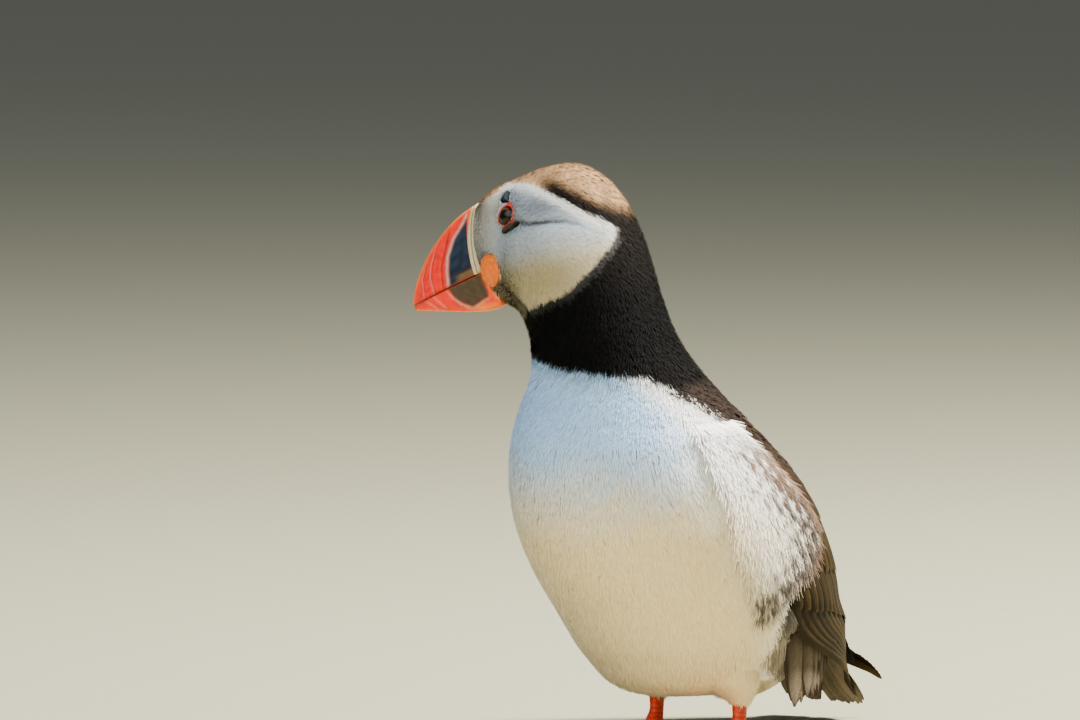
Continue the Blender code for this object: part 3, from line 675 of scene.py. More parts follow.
def layVanes(name, surface, roots, tips, width, style, tints, level=0.0, seed=2, last=trunkLast):
    # each vane is a grid from root to tip: its width follows a rounded outline, it is cambered across,
    # the shaft is a low ridge, its edge is broken by small splits, and its root lies under its neighbours
    rng, style = np.random.default_rng(seed), {**vaneStyle, **style}
    rootAt, rootAngle = (np.asarray(value, float)[:, None, None] for value in roots)
    tipAt, tipAngle = (np.asarray(value, float)[:, None, None] for value in tips)
    width = np.asarray(width, float)[:, None, None]
    count, steps, columns = len(rootAt), style["steps"], style["columns"]
    t, x = np.linspace(0, 1, steps + 1)[None, :, None], np.linspace(-1, 1, columns + 1)[None, None, :]
    outline = 1 - style["round"] * np.abs(x) ** 2.2
    outline = outline * (1 - style["ragged"] * rng.random((count, 1, columns + 1)))
    reach = t * (1 - (1 - outline) * smoothStep(t, 0.45, 1.0))
    profile = np.minimum((reach / style["shoulder"]) ** 0.5, 1.0)
    profile = profile * (1 - style["taper"] * reach**3)
    side = width / 2 * x * profile
    at = rootAt + (tipAt - rootAt) * reach
    angle = rootAngle + (tipAngle - rootAngle) * reach ** style["sweep"]
    _, _, _, perSection, perDegree = surfaceFrame(surface, at, angle)
    ahead, aside = (tipAt - rootAt) * perSection, (tipAngle - rootAngle) * perDegree
    size = np.hypot(ahead, aside) + 1e-9
    at = at - aside / size * side / perSection
    angle = angle + ahead / size * side / np.maximum(perDegree, 0.05)
    point, normal, _, _, _ = surfaceFrame(surface, at, angle)
    rise = np.asarray(level, float).reshape(-1, 1, 1) - style["depth"] * (1 - t) ** 1.4
    rise = rise - style["camber"] * x**2 * np.minimum(1, t * 3) + style["tilt"] * x
    rise = rise + style["shaft"] * np.exp(-((x / 0.12) ** 2)) * (1 - t) ** 0.3
    rise = rise + rng.normal(0, style["rough"], (count, 1, 1)) * t + style["curl"] * t**3
    rise = rise + style["ripple"] * rng.normal(0, 1, (count, 1, columns + 1)) * t * np.abs(x)
    grid = point + normal * rise[..., None]
    first = np.arange(count)[:, None, None] * ((steps + 1) * (columns + 1))
    quads = first + gridQuads(steps + 1, columns + 1)[None]
    base, edge = (np.asarray(tint).reshape(-1, 1, 1, 3) for tint in tints)
    margin = np.maximum(np.abs(x) ** 4 * smoothStep(t, 0.1, 0.5),
                        smoothStep(t, style["fringe"], 1.0))
    full = grid.shape[:-1]
    colour = base + (edge - base) * np.broadcast_to(margin, full)[..., None]
    colour = colour * rng.normal(1, style["shade"], (count, 1, 1, 1))
    # painted shade: each vane darker towards its root, where the vanes over it cover it
    colour = colour * (0.62 + 0.38 * smoothStep(t, 0.05, 0.6))[..., None]
    colour = colour * (1 - style["web"] * smoothStep(x, -0.25, 0.5))[..., None]
    shaft = (np.exp(-((x / 0.09) ** 2)) * style["shaftLight"] * (1 - 0.6 * t))[..., None]
    colour = np.clip(colour * (1 - shaft * 0.5) + shaft * 0.06, 0.002, 0.95)
    reachMm = np.broadcast_to(reach * size.mean(axis=(1, 2), keepdims=True), full)
    # barbs slant back from the shaft; their pattern repeats every 2.2 mm
    barb = np.stack([(reachMm - np.abs(side) * 0.8) / 2.2 + np.arange(count)[:, None, None] * apart,
                     np.broadcast_to(x, full)], axis=-1)
    bake = bakeMap(rootAt[:, 0, 0], rootAngle[:, 0, 0], np.broadcast_to((x + 1) / 2, full)[:, None],
                   np.broadcast_to(t, full)[:, None], last)[:, 0]
    return makeMesh(name, grid, quads, colour, {"OFBake": bake, "barb": barb})


def rearFirst(at, angle):
    # roots sorted from the tail forwards, so that each feather lies over the one behind it
    order = np.argsort(-at)
    return at[order], angle[order]


def tipsOf(surface, at, angle, length, lean):
    # where feathers end: so many mm from their roots, turned from the body's line by so many radians
    _, _, _, perSection, perDegree = surfaceFrame(surface, at, angle)
    return at + length * np.cos(lean) / perSection, angle + length * np.sin(lean) / perDegree


def finishCoat(piece, material, slotName):
    # the piece's one material; the slot name is not used
    piece.data.materials.append(material)
    return piece


# folded wing by sections from its shoulder back: upper edge, lower edge, thickness
wingRows = np.array(((42, 58, 1.8), (27, 76, 3.2), (19, 88, 3.6), (14, 93, 3.6), (11, 94, 3.6), (9, 93, 3.6),
                     (8, 90, 3.3), (8, 84, 2.9), (9, 75, 2.4), (13, 63, 2.0), (20, 51, 1.7), (29, 41, 1.5)))
wingStart = 12
legPlace = {"forward": -3.0, "out": 20.5, "splay": 9.0}
# thigh lobe from the top down: forward, out, height, half length, half width
thighRows = np.array(((6, -1, 32, 15, 12), (4, -0.5, 22, 12, 10), (0.5, 0, 16.5, 7.0, 6.0),
                      (-1.0, 0, 13.5, 4.4, 3.8)))


def wingRow(at):
    # upper and lower edge of the folded wing in degrees from the back, and its thickness in mm
    read = readRows(wingRows, np.clip(np.asarray(at, float) - wingStart, 0, len(wingRows) - 1))
    return read[..., 0], read[..., 1], read[..., 2]


def wingRoom(at, angle):
    # how deep the trunk is sunk under the folded wing
    side = sideOf(angle)
    top, low, thick = wingRow(at)
    inside = smoothStep(side, top - 15, top - 2) * (1 - smoothStep(side, low + 2, low + 15))
    return inside * smoothStep(at, wingStart - 0.9, wingStart) * (thick + 0.5)


def faceRelief(at, angle):
    # the crease behind the eye is a groove between two soft rolls; the cheek below stands a little proud
    flat = bodyPoint(trunkRows, at, angle, turned=False)
    forward, height = -flat[..., 1], flat[..., 2]
    away = lineDistance(eyeCrease, forward, height)
    groove = bandOf(away, 0.9) * -0.65 + bandOf(away - 2.8, 1.8) * 0.30
    groove = groove * smoothStep(forward, 41, 56) * smoothStep(-forward, -72, -69)
    brow = 1.3 * bandOf(forward - 85, 6) * smoothStep(height, 184, 192)
    return (groove + brow) * (at < 8)


def bySection(places, values):
    # a measure that changes along the body only: straight lines between the given sections
    return lambda at, angle: np.interp(at, places, values)


def steady(value):
    # a measure that is the same everywhere
    return lambda at, angle: value + 0 * at


# mm between skin and the coat's outer face: thin on the face, deep on the body
coatThickness = bySection((0, 1, 3, 6, 9, 12, 15, 20, 22), (0.6, 0.8, 1.1, 1.7, 2.4, 3.0, 3.3, 2.8, 1.8))


def thighSurface(side):
    # upright tapering lobe above each leg: rows of ellipses, back of the lobe at 0 degrees
    rows = thighRows + (legPlace["forward"], legPlace["out"], 0, 0, 0)
    rows[:, 1] *= side

    def place(at, angle):
        at, angle = np.broadcast_arrays(np.asarray(at, float), np.radians(angle))
        read = readRows(rows, at)
        return np.stack([read[..., 1] + read[..., 4] * np.sin(angle),
                         -(read[..., 0] - read[..., 3] * np.cos(angle)), read[..., 2]], axis=-1) + frameShift
    return place


def makeSkin():
    # one closed skin: the body's loft drawn in by the coat's depth, with the two thigh lobes joined to it
    at, angle = np.meshgrid(np.concatenate([np.linspace(0, 9, 110), np.linspace(9.1, trunkLast - 0.15, 110)]),
                            np.arange(120) * 3.0, indexing="ij")
    point, normal, _, _, _ = surfaceFrame(trunkSurface, at, angle)
    depth = np.maximum(coatThickness(at, angle), wingRoom(at, angle) + 0.4) - faceRelief(at, angle)
    # painted shade: the skin carries the markings darkened, standing in for the shade deep in the coat
    colours = coatColours(at, angle, 0.3)[0] * 0.8
    skin = closedLoft("skin", point - normal * depth[..., None], colours)
    for side, _ in sides:
        row, turn = np.meshgrid(np.linspace(0, 3, 16), np.arange(48) * 7.5, indexing="ij")
        lobe, outwards, _, _, _ = surfaceFrame(thighSurface(side), row, turn)
        lobe = lobe - outwards * (1.6 - 0.3 * row)[..., None]
        # the belly's cream darkened as painted shade deep in the coat; the cream is partly staining and
        # partly painted warm light from below
        colours = np.broadcast_to(palette["belly"] * 0.8, lobe.shape)
        helper = closedLoft("thigh lobe", lobe, colours)
        join = skin.modifiers.new("join", "BOOLEAN")
        join.operation, join.solver, join.object = "UNION", "EXACT", helper
        bpy.context.view_layer.update()
        joined = bpy.data.meshes.new_from_object(skin.evaluated_get(bpy.context.evaluated_depsgraph_get()))
        skin.modifiers.clear()
        skin.data = joined
        bpy.data.objects.remove(helper)
    skin.data.polygons.foreach_set("use_smooth", np.ones(len(skin.data.polygons), bool))
    skin.data.materials.clear()
    finishCoat(skin, skinMaterial(), "white_feather")
    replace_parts(skin, "head", "neck", "trunk", "thigh_left", "thigh_right")


makeSkin()
print("skin ready")

# bare places on the head that the coat leaves open, as (forward, side, height) and radius
barePlaces = {
    "eye": ((74.9, 13.6, 187.5), 4.2), "brow plate": ((76.2, 11.6, 193.0), 2.5),
    "lower plate": ((71.4, 18.6, 184.1), 1.9), "lower plate, front": ((73.6, 17.6, 183.1), 1.9),
    "lower plate, rear": ((69.0, 20.2, 184.4), 1.2),
    "rosette, front": ((82.2, 11.6, 168.6), 4.3), "rosette, rear": ((79.0, 14.6, 167.0), 3.9),
}


def openness(at, angle):
    # distance to the nearest bare place on the head, in mm
    flat = bodyPoint(trunkRows, at, angle, turned=False)
    place = np.stack([-flat[..., 1], np.abs(flat[..., 0]), flat[..., 2]], axis=-1)
    away = [np.linalg.norm(place - middle, axis=-1) - radius for middle, radius in barePlaces.values()]
    return np.min(away, axis=0)


def coatColour(at, angle):
    # the markings' colour alone
    return coatColours(at, angle)[0]


def layCoat(name, surface, spans, weight, count, style, colour, seed, look, height=None, last=trunkLast):
    # scatters roots over a span of sections and degrees, lays their tufts and gives them their material
    roots = scatterRoots(surface, *spans, weight, count)
    piece = layTufts(name, surface, roots, style, colour, height, seed, last)
    return finishCoat(piece, *look)


looks = {"white": (downySoft, "white_feather"), "black": (velvetDark, "black_feather"),
         "face": (faceSilk, "face_feather"), "vane": (quillVane, "wing_feather")}


def layHeadCoat():
    # short tufts, shortest at the bill and beside the bare places: silky ones on the pale face,
    # looser dark ones on crown and nape
    def faceWeight(at, angle):
        _, _, patch = coatColours(at, angle)
        return (patch < 0.4) * (at < 9) * (openness(at, angle) > 0.2) * (1 + 0.5 * (at < 2))

    def darkWeight(at, angle):
        _, _, patch = coatColours(at, angle)
        return (patch > -0.4) * (openness(at, angle) > 0.2)

    def shortLength(at, angle):
        room = np.clip(0.45 + openness(at, angle) / 5, 0.45, 1)
        return np.interp(at, (0, 1, 3, 6, 9), (1.3, 1.6, 2.0, 2.5, 3.0)) * room

    face = dict(strands=3, steps=2, stray=0.10, rough=0.04, fill=0.8, rootShade=0.96, shade=0.02,
                even=0.75, twist=0.1, length=shortLength,
                width=lambda at, angle: 0.55 + 0.04 * at, depth=coatThickness)
    crown = dict(strands=3, steps=2, stray=0.16, rough=0.22, fill=0.55, rootShade=0.5, shade=0.28,
                 length=bySection((0, 1, 3, 6, 9), (1.4, 2.0, 2.8, 3.4, 4.0)),
                 width=lambda at, angle: 0.5 + 0.06 * at, depth=coatThickness)
    spans = ((0.0, 9.0), (0, 360))
    layCoat("coat_face", trunkSurface, spans, faceWeight, 12500, face, coatColour, 11, looks["face"],
            faceRelief)
    layCoat("coat_crown", trunkSurface, spans, darkWeight, 10500, crown, coatColour, 12, looks["black"],
            faceRelief)


def layNeckCoat():
    # black tufts of the collar, running on under the first feathers of the mantle
    def weight(at, angle):
        side = sideOf(angle)
        dark = (at < collarSection(side)) | (side < mantleAngle(at))
        return dark * (at > 8.5) * (side > np.interp(at, (11.0, 11.9), (-1, 30)))

    neck = dict(strands=4, steps=3, stray=0.16, rough=0.20, fill=0.6, rootShade=0.55, shade=0.14,
                length=lambda at, angle: 4.2 + 0.5 * (at - 9), width=steady(1.15), depth=coatThickness)
    layCoat("coat_neck", trunkSurface, ((8.5, 12.2), (0, 360)), weight, 6300, neck, coatColour, 13,
            looks["black"])


def layWhiteCoat():
    # smooth white tufts of breast and belly, longer and looser under the tail and on the thighs
    def weight(at, angle):
        side = sideOf(angle)
        _, low, _ = wingRow(np.maximum(at, wingStart))
        below = side > np.maximum(mantleAngle(at) - 2, (low - 1) * (at > 12))
        return below * (at > collarSection(side) - 0.05) * (1 + 0.8 * (at < 12.5))

    def rear(at, angle):
        side = sideOf(angle)
        _, low, _ = wingRow(np.minimum(at, 22.5))
        return (at > 20.3) + (side < mantleAngle(at) + 2) * ((at > 18.7) + (side > low + 4) * (at > 18.0)) > 0

    body = dict(strands=5, steps=3, stray=0.08, rough=0.09, fill=0.86, rootShade=0.93, shade=0.02, fan=0.28,
                depth=coatThickness, even=0.75, twist=0.1, droop=2.5,
                length=bySection((8.9, 10.3, 12, 14, 18, 20), (1.8, 3.4, 6.5, 8.5, 10.5, 10.0)),
                width=bySection((8.9, 10.5, 12, 14, 18), (1.2, 1.5, 2.2, 2.6, 3.0)))
    vent = dict(body, droop=5.0, length=steady(10.0), width=steady(2.6))
    for name, start, end, count, seed in (("breast", 8.8, 14.6, 5400, 14), ("belly", 14.4, 17.4, 5100, 15),
                                          ("lower_belly", 17.2, 20.6, 3900, 16)):
        layCoat(f"coat_{name}", trunkSurface, ((start, end), (30, 330)), weight, count, body, coatColour,
                seed, looks["white"])
    layCoat("coat_undertail", trunkSurface, ((18.0, trunkLast - 0.5), (0, 360)), rear, 1800, vent, coatColour,
            17, looks["white"])
    thigh = dict(body, strands=4, stray=0.22, rough=0.35, lift=0.5, droop=0,
                 length=lambda at, angle: 8.0 - 1.6 * at,
                 width=lambda at, angle: 2.2 - 0.3 * at,
                 depth=lambda at, angle: 1.6 - 0.3 * at)

    def thighColour(at, angle):
        # the belly's cream, partly staining and partly painted warm light from below
        return np.broadcast_to(palette["belly"], (*np.shape(at), 3))

    for side, word in sides:
        layCoat(f"coat_thigh_{word}", thighSurface(side), ((0.1, 2.7), (0, 360)), steady(1.0), 1500,
                thigh, thighColour, 18, looks["white"], last=3)


layHeadCoat()
layNeckCoat()
print("head and neck coat ready")
layWhiteCoat()
print("white coat ready")


def pickTints(rng, count, base, edge, brown=0.25):
    # dark brown feathers, each a little different, some worn browner
    worn = np.clip(rng.normal(brown, 0.13, count), 0.06, 0.8)[:, None]
    base = palette[base] * (1 - worn) + palette[edge] * worn
    return base, np.tile(palette[edge], (count, 1))


def layMantle():
    # rounded vanes over the back and shoulders, larger towards the tail
    rng = np.random.default_rng(21)

    def weight(at, angle):
        side = sideOf(angle)
        top, _, _ = wingRow(np.maximum(at, wingStart))
        return (side < mantleAngle(at) - 4 * (at < 12.3)) * ((at < 12) + (side < top + 8)) * (at > 10.9)

    at, angle = scatterRoots(backSurface, (10.9, 20.5), (-100, 100), weight, 1500)
    at, angle = rearFirst(at, angle)
    length = np.interp(at, (10.9, 13, 16, 21), (7.5, 11.5, 14.5, 15.5)) * rng.uniform(0.85, 1.15, len(at))
    width = np.interp(at, (10.9, 13, 16, 21), (5.0, 7.6, 9.6, 10.0)) * rng.uniform(0.85, 1.15, len(at))
    tips = tipsOf(backSurface, at, angle, length, rng.normal(0, 0.10, len(at)))
    style = {"steps": 6, "columns": 7, "round": 0.42, "ragged": 0.16, "camber": 0.16, "depth": 1.1,
             "rough": 0.06, "shaft": 0.04, "shade": 0.07, "fringe": 0.74, "ripple": 0.04, "curl": -0.15}
    base, edge = pickTints(rng, len(at), "mantle", "mantleEdge", 0.3)
    back = 0.75 * smoothStep(at, 10.5, 12.5)[:, None]
    edge = base * (1 - back) + edge * back
    piece = layVanes("coat_mantle", backSurface, (at, angle), tips, width, style, (base, edge), 0.0, 22)
    finishCoat(piece, *looks["black"])


def wingSurface(side):
    # the tip lies closer to the rump than the body's own form; the right one crosses over the left
    shift = np.array([20.5, 9.5, 4.6]) if side < 0 else np.array([5.6, -5.6, -0.6])

    def place(at, angle):
        at = np.asarray(at, float)
        drawn = np.interp(at, (19.2, 20.2, 21, 22, 22.6, 23.4), (0, 1.2, 2.8, 3.9, 3.2, 0.8)) * (side > 0)
        return (backSurface(at, angle) + smoothStep(at, 19.3, 23.2)[..., None] * shift
                - drawn[..., None] * np.array([1.0, 1.0, 0.0]))
    return place


# rows of the folded wing: how many feathers, where their roots and tips lie along the body (at the upper and
# at the lower edge), the share of the wing's height they span, width in mm, height over the shell
wingFeathers = {
    "primaries": dict(count=12, root=(17.3, 16.8), tip=(21.4, 23.5), span=(0.24, 0.90), ends=(0.20, 0.45),
                      width=(9.0, 9.0), level=(-0.5, -1.3), steps=26, columns=8),
    "secondaries": dict(count=15, root=(15.9, 15.0), tip=(19.3, 17.5), span=(0.14, 0.95), ends=(0.10, 0.90),
                        width=(9.5, 8.2), level=(-0.3, -0.9), steps=20, columns=8),
    "tertials": dict(count=5, root=(16.0, 15.6), tip=(20.4, 19.3), span=(0.02, 0.30), ends=(0.06, 0.34),
                     width=(12.0, 11.0), level=(0.5, 0.1), steps=18, columns=8),
    "greaterCoverts": dict(count=15, root=(14.4, 13.8), tip=(17.3, 16.3), span=(0.08, 0.97),
                           ends=(0.06, 0.98), width=(9.0, 7.8), level=(0.2, -0.1), steps=12, columns=6),
    "medianCoverts": dict(count=16, root=(13.3, 12.9), tip=(15.6, 15.0), span=(0.08, 0.97),
                          ends=(0.06, 0.98), width=(8.5, 7.2), level=(0.35, 0.1), steps=9, columns=6),
}
wingStyle = {"round": 0.16, "ragged": 0.035, "camber": 0.45, "depth": 0.8, "rough": 0.06, "shaft": 0.16,
             "shade": 0.12, "fringe": 0.955, "shaftLight": 0.12, "taper": 0.35, "shoulder": 0.12,
             "ripple": 0.03, "web": 0.45}
covertStyle = {"round": 0.26, "ragged": 0.05, "fringe": 0.9, "shoulder": 0.3, "shaftLight": 0.1}
rowStyles = {
    "primaries": {"round": 0.34, "taper": 0.25, "rough": 0.02, "ragged": 0.0, "ripple": 0.0, "tilt": 0.0,
                  "sweep": 1.9, "shade": 0.2, "fringe": 0.93},
    "greaterCoverts": covertStyle, "medianCoverts": covertStyle,
}


def layWingShell(side, word):
    # shell under the feathers: outer face just inside the wing's form, inner face by the wing's own thickness
    at, across = np.meshgrid(np.linspace(wingStart, 21.4, 70), np.linspace(0.05, 0.93, 30), indexing="ij")
    top, low, thick = wingRow(at)
    point, normal, _, _, _ = surfaceFrame(wingSurface(side), at, side * (top + (low - top) * across))
    rim = np.abs(2 * across - 1)
    deep = np.interp(at, (15.5, 18), (1.4, 2.6))
    outer = point - normal * (deep + 0.9 * rim**4)[..., None]
    inner = point - normal * (deep + 0.3 + (thick - 1.4) * (0.30 + 0.70 * (1 - rim**3)))[..., None]
    rings = np.concatenate([outer, inner[:, ::-1]], axis=1)
    # painted shade: the shell takes the wing's colour darkened, as under the feathers
    shell = closedLoft(f"wing_shell_{word}", rings, np.broadcast_to(palette["wing"] * 0.7, rings.shape),
                       {"barb": np.zeros((len(rings) + 2, rings.shape[1], 2))})
    finishCoat(shell, *looks["vane"])
    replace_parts(shell, f"wing_{word}")


def layWing(side, word):
    # the named rows of long feathers, then the small coverts in front of them, then the scapulars
    surface, rng = wingSurface(side), np.random.default_rng(31)
    layWingShell(side, word)
    for number, (name, row) in enumerate(wingFeathers.items()):
        share = np.linspace(0, 1, row["count"])
        rootAt, tipAt, spans, ends, width, level = (
            np.interp(share, (0, 1), row[key]) for key in ("root", "tip", "span", "ends", "width", "level"))
        rootAt = rootAt + rng.normal(0, 0.03, row["count"])
        tipAt = tipAt + rng.normal(0, 0.04, row["count"])
        top, low, _ = wingRow(rootAt)
        tipTop, tipLow, _ = wingRow(np.minimum(tipAt, 23))
        roots = (rootAt, side * (top + (low - top) * spans))
        tips = (tipAt, side * (tipTop + (tipLow - tipTop) * ends))
        width = width * rng.uniform(0.95, 1.05, row["count"])
        style = {"steps": row["steps"], "columns": row["columns"], "tilt": -0.28 * side, **wingStyle,
                 **rowStyles.get(name, {})}
        tints = pickTints(rng, row["count"], "wing", "wingFringe", 0.6 if name == "primaries" else 0.15)
        piece = layVanes(f"wing_{name}_{word}", surface, roots, tips, width, style, tints, level, 40 + number)
        finishCoat(piece, *looks["vane"])

    def lesser(at, angle):
        top, low, _ = wingRow(at)
        share = (np.abs(angle) - top) / (low - top)
        return (share > 0.02) * (share < 0.98) * (at < 14.6 + 0.4 * share)

    span = (0, 100) if side > 0 else (-100, 0)
    at, angle = rearFirst(*scatterRoots(surface, (wingStart, 15.0), span, lesser, 330))
    length = np.interp(at, (12, 15), (7.0, 10.0)) * rng.uniform(0.9, 1.1, len(at))
    tips = tipsOf(surface, at, angle, length, rng.normal(0, 0.07, len(at)) - 0.10 * side)
    style = {"steps": 6, "columns": 6, "round": 0.4, "ragged": 0.10, "camber": 0.22, "depth": 1.2,
             "rough": 0.08, "shaft": 0.06, "shade": 0.08, "fringe": 0.80, "ripple": 0.04}
    piece = layVanes(f"wing_lesser_{word}", surface, (at, angle), tips, length * 0.78, style,
                     pickTints(rng, len(at), "wing", "mantleEdge", 0.1), 0.3, 51)
    finishCoat(piece, *looks["vane"])
    # scapulars lie over the wing's upper edge
    count = 90
    at = np.sort(rng.uniform(11.7, 16.6, count))[::-1]
    top, _, _ = wingRow(at)
    angle = side * (top + rng.uniform(-7, 15, count))
    length = np.interp(at, (11.7, 13, 16), (9.0, 13.0, 19.0)) * rng.uniform(0.9, 1.1, count)
    tips = tipsOf(surface, at, angle, length, -side * rng.uniform(0.0, 0.25, count))
    style.update({"steps": 9, "depth": 2.0, "round": 0.36, "camber": 0.35, "fringe": 0.86})
    piece = layVanes(f"scapulars_{word}", surface, (at, angle), tips, length * 0.62, style,
                     pickTints(rng, count, "mantle", "mantleEdge", 0.2), 0.7, 52)
    finishCoat(piece, *looks["black"])


def layFlanks():
    # long loose feathers of the body's side, white with dusky tips, that wrap up over the folded wing
    def flankColour(at, angle):
        flat = bodyPoint(backRows, at, angle, turned=False)
        over = sideOf(angle) - mantleAngle(at)
        along, aside = 0.5 * flat[..., 1] - 0.87 * flat[..., 2], 0.87 * flat[..., 1] + 0.5 * flat[..., 2]
        ragged = mottle(0.6 * along, 1.6 * aside, 5.0, 5)
        fine = mottle(0.5 * along, 2.2 * aside, 3.0, 6)
        white = whiteAt(at, sideOf(angle))
        late = smoothStep(at, 12.2, 13.6)
        # painted shade in the gaps between the loose flank feathers
        gapShadeShare = smoothStep(over, 5, 12) * smoothStep(36 - over, 0, 13)
        gapShadeShare = gapShadeShare * smoothStep(0.7 * ragged + 0.6 * fine, -0.30, 0.15)
        tips = smoothStep(29 + 14 * ragged - over, 0, 9) * (1 - smoothStep(at, 16.4, 17.2) * 0.5)
        white = blend(white, palette["flankTip"] * (1 + 0.4 * fine)[..., None], 0.98 * late * tips)
        return blend(white, palette["flankGapShade"], 0.94 * smoothStep(at, 13.6, 15.2) * gapShadeShare)

    for side, word in sides:
        # nothing hides where the right flank begins, so it starts deeper and thins in
        sink = (2.6, 1.0, 1.0) if side > 0 else (6.5, 2.6, 1.0)

        def weight(at, angle):
            _, low, _ = wingRow(np.maximum(at, wingStart))
            over = sideOf(angle)
            below = over > mantleAngle(at + 0.75) + np.interp(at, (13, 15), (8, 4))
            return below * (over < np.maximum(low + 9, 98)) * (1 if side > 0 else smoothStep(at, 12.2, 14.2))

        style = dict(
            strands=5, steps=4, stray=0.17, rough=0.30, fill=0.66, fan=0.40, rootShade=0.70, shade=0.16,
            lift=1.5, top=0.8, even=0.4, twist=0.22, tintEach=True, hang=0.0, width=steady(2.6),
            depth=bySection((12.1, 13.6, 14.8), sink),
            length=bySection((11.4, 13, 15, 17, 20), (6.0, 9.0, 11.0, 12.0, 11.0)),
            turn=lambda at, angle: side * np.interp(at, (11.4, 13, 15, 18), (0.15, 0.35, 0.42, 0.22)))
        degrees = (45, 125) if side > 0 else (235, 315)
        layCoat(f"coat_flank_{word}", backSurface, ((12.1, 18.2), degrees), weight, 2900, style, flankColour,
                60 + side, looks["white"])
        layVent(side, word)


def layVent(side, word):
    # narrow grey-brown vanes hang from the rear of the flank over the tail's root
    def hanging(at, angle):
        share = np.asarray(at, float) / 10
        start = trunkSurface(19.0, angle)
        middle = trunkSurface(19.0, 0.0) * 0.5 + trunkSurface(19.0, 180.0) * 0.5
        place = start + (middle - start) * np.array([1, 1, 0]) * (0.10 * share)[..., None]
        return place + np.array([0, 0, -1.0]) * (27.0 * share - 4.0)[..., None]

    rng, count = np.random.default_rng(81), 28
    angle = side * np.linspace(30, 84, count)
    tips = (rng.uniform(9.5, 10.4, count) * np.interp(np.abs(angle), (30, 60, 84), (0.8, 1.0, 0.9)),
            angle - 2 * side)
    style = {"steps": 14, "columns": 6, "round": 0.30, "ragged": 0.09, "camber": 0.35, "depth": 2.0,
             "rough": 0.15, "shaft": 0.2, "shade": 0.10, "fringe": 0.9, "shaftLight": 0.2, "taper": 0.35,
             "shoulder": 0.15, "ripple": 0.10, "web": 0.3}
    piece = layVanes(f"vent_feathers_{word}", hanging, (np.full(count, -1.2), angle), tips,
                     rng.uniform(8.5, 10.5, count), style,
                     pickTints(rng, count, "ventDusk", "mantleEdge", 0.15), rng.uniform(1.8, 2.8, count), 82)
    finishCoat(piece, *looks["vane"])


layMantle()
for side, word in sides:
    layWing(side, word)
layFlanks()
print("mantle, wings and flanks ready")

# the tail's root (forward, height), its direction, its length and half width at the tips in mm
tailShape = {"root": (-54.5, 46.0), "way": (-0.50, -0.866), "length": 47.0, "halfWidth": 22.5}


def tailSurface(at, angle):
    # fan of the tail's upper face: at runs 0 to 10 from root to tips, angle -50 to 50 from side to side
    share, side = np.broadcast_arrays(np.asarray(at, float) / 10, np.asarray(angle, float) / 50)
    half = tailShape["halfWidth"] * (0.42 + 0.58 * share)
    run = share * tailShape["length"] * (1 - 0.05 * side**2)
    forward = tailShape["root"][0] + tailShape["way"][0] * run + 3.4 * np.abs(side) ** 1.4
    height = tailShape["root"][1] + tailShape["way"][1] * run
    return np.stack([half * side, -forward, height], axis=-1) + frameShift


def layTail():
    # sixteen quills fanned over each other, the middle pair uppermost, short pale-shafted vanes
    count = 16
    share = (np.arange(count) + 0.5) / count * 2 - 1
    # a parting in the fan
    share = share + 0.10 * np.sign(share + 0.25) * np.exp(-(((share + 0.25) / 0.35) ** 2))
    rng = np.random.default_rng(71)
    roots = (np.full(count, -1.0), share * 26)
    tips = (10.0 + 0.15 * rng.normal(0, 1, count) - 0.35 * np.abs(share), share * 47)
    style = {"steps": 24, "columns": 8, "round": 0.14, "ragged": 0.03, "camber": 0.25, "depth": 0.0,
             "rough": 0.05, "shaft": 0.25, "shade": 0.12, "fringe": 0.96, "shaftLight": 0.9, "taper": 0.12,
             "shoulder": 0.05, "ripple": 0.04, "web": 0.4}
    base, edge = pickTints(rng, count, "tailUnder", "ventDusk", 0.3)
    order = np.argsort(-np.abs(share))
    level = -2.2 + 1.9 * (1 - np.abs(share))
    piece = layVanes("tail_quills", tailSurface, tuple(v[order] for v in roots),
                     tuple(v[order] for v in tips), np.full(count, 8.6), style, (base, edge), level[order],
                     72, last=10)
    finishCoat(piece, *looks["vane"])
    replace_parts(piece, "tail")
    # upper coverts over the tail's root
    count = 46
    at, angle = np.sort(rng.uniform(-1.5, 2.6, count))[::-1], rng.uniform(-44, 44, count)
    style.update({"steps": 8, "columns": 6, "round": 0.35, "depth": 1.2, "shaftLight": 0.05, "fringe": 0.85,
                  "shoulder": 0.3})
    piece = layVanes("tail_coverts", tailSurface, (at, angle), (at + 3.2, angle * 1.12), np.full(count, 9.0),
                     style, pickTints(rng, count, "mantle", "mantleEdge", 0.2), 1.0, 73, last=10)
    finishCoat(piece, *looks["black"])


layTail()
print("tail ready")

# the bill's three outlines, as (forward, height) on the unturned head
billShape = {
    "culmen": ((91.3, 190.5), (101.8, 183.6), (115.2, 170.6), (116.2, 153.6)),
    "cuttingEdge": ((84.1, 166.5), (96.0, 162.8), (107.0, 158.3), (115.6, 153.3)),
    "keel": ((80.3, 155.3), (84.5, 150.8), (98.5, 152.3), (114.8, 152.0)),
    "halfWidth": 8.2, "gap": 0.3,
}
billTints = {
    "red": "#f01c08", "redDeep": "#b01608", "orange": "#f25200", "gold": "#ff8a00", "slate": "#202c3c",
    "slateDeep": "#18212d", "ridge": "#b09a90", "groove": "#e0705c", "brown": "#40260f", "gape": "#6e5534",
    "lowSlate": "#473a2c", "lowRim": "#a98a72", "cere": "#c4b98f", "cereLine": "#6b5127", "edge": "#7d2a10",
}
horn = {name: hexColour(text) for name, text in billTints.items()}
billRidge = ((94.0, 189.0), (94.7, 186.8), (96.6, 182.7), (99.7, 177.6), (101.4, 171.6), (101.3, 166.5),
             (100.4, 161.0))
billGrooves = (((101.5, 180.5), (103.0, 172.5), (103.9, 167.4), (102.8, 160.5)),
               ((104.5, 179.0), (106.9, 174.8), (108.7, 168.2), (108.7, 163.7), (106.6, 158.0)),
               ((109.2, 172.5), (111.0, 168.2), (112.3, 163.1), (111.0, 156.5)))
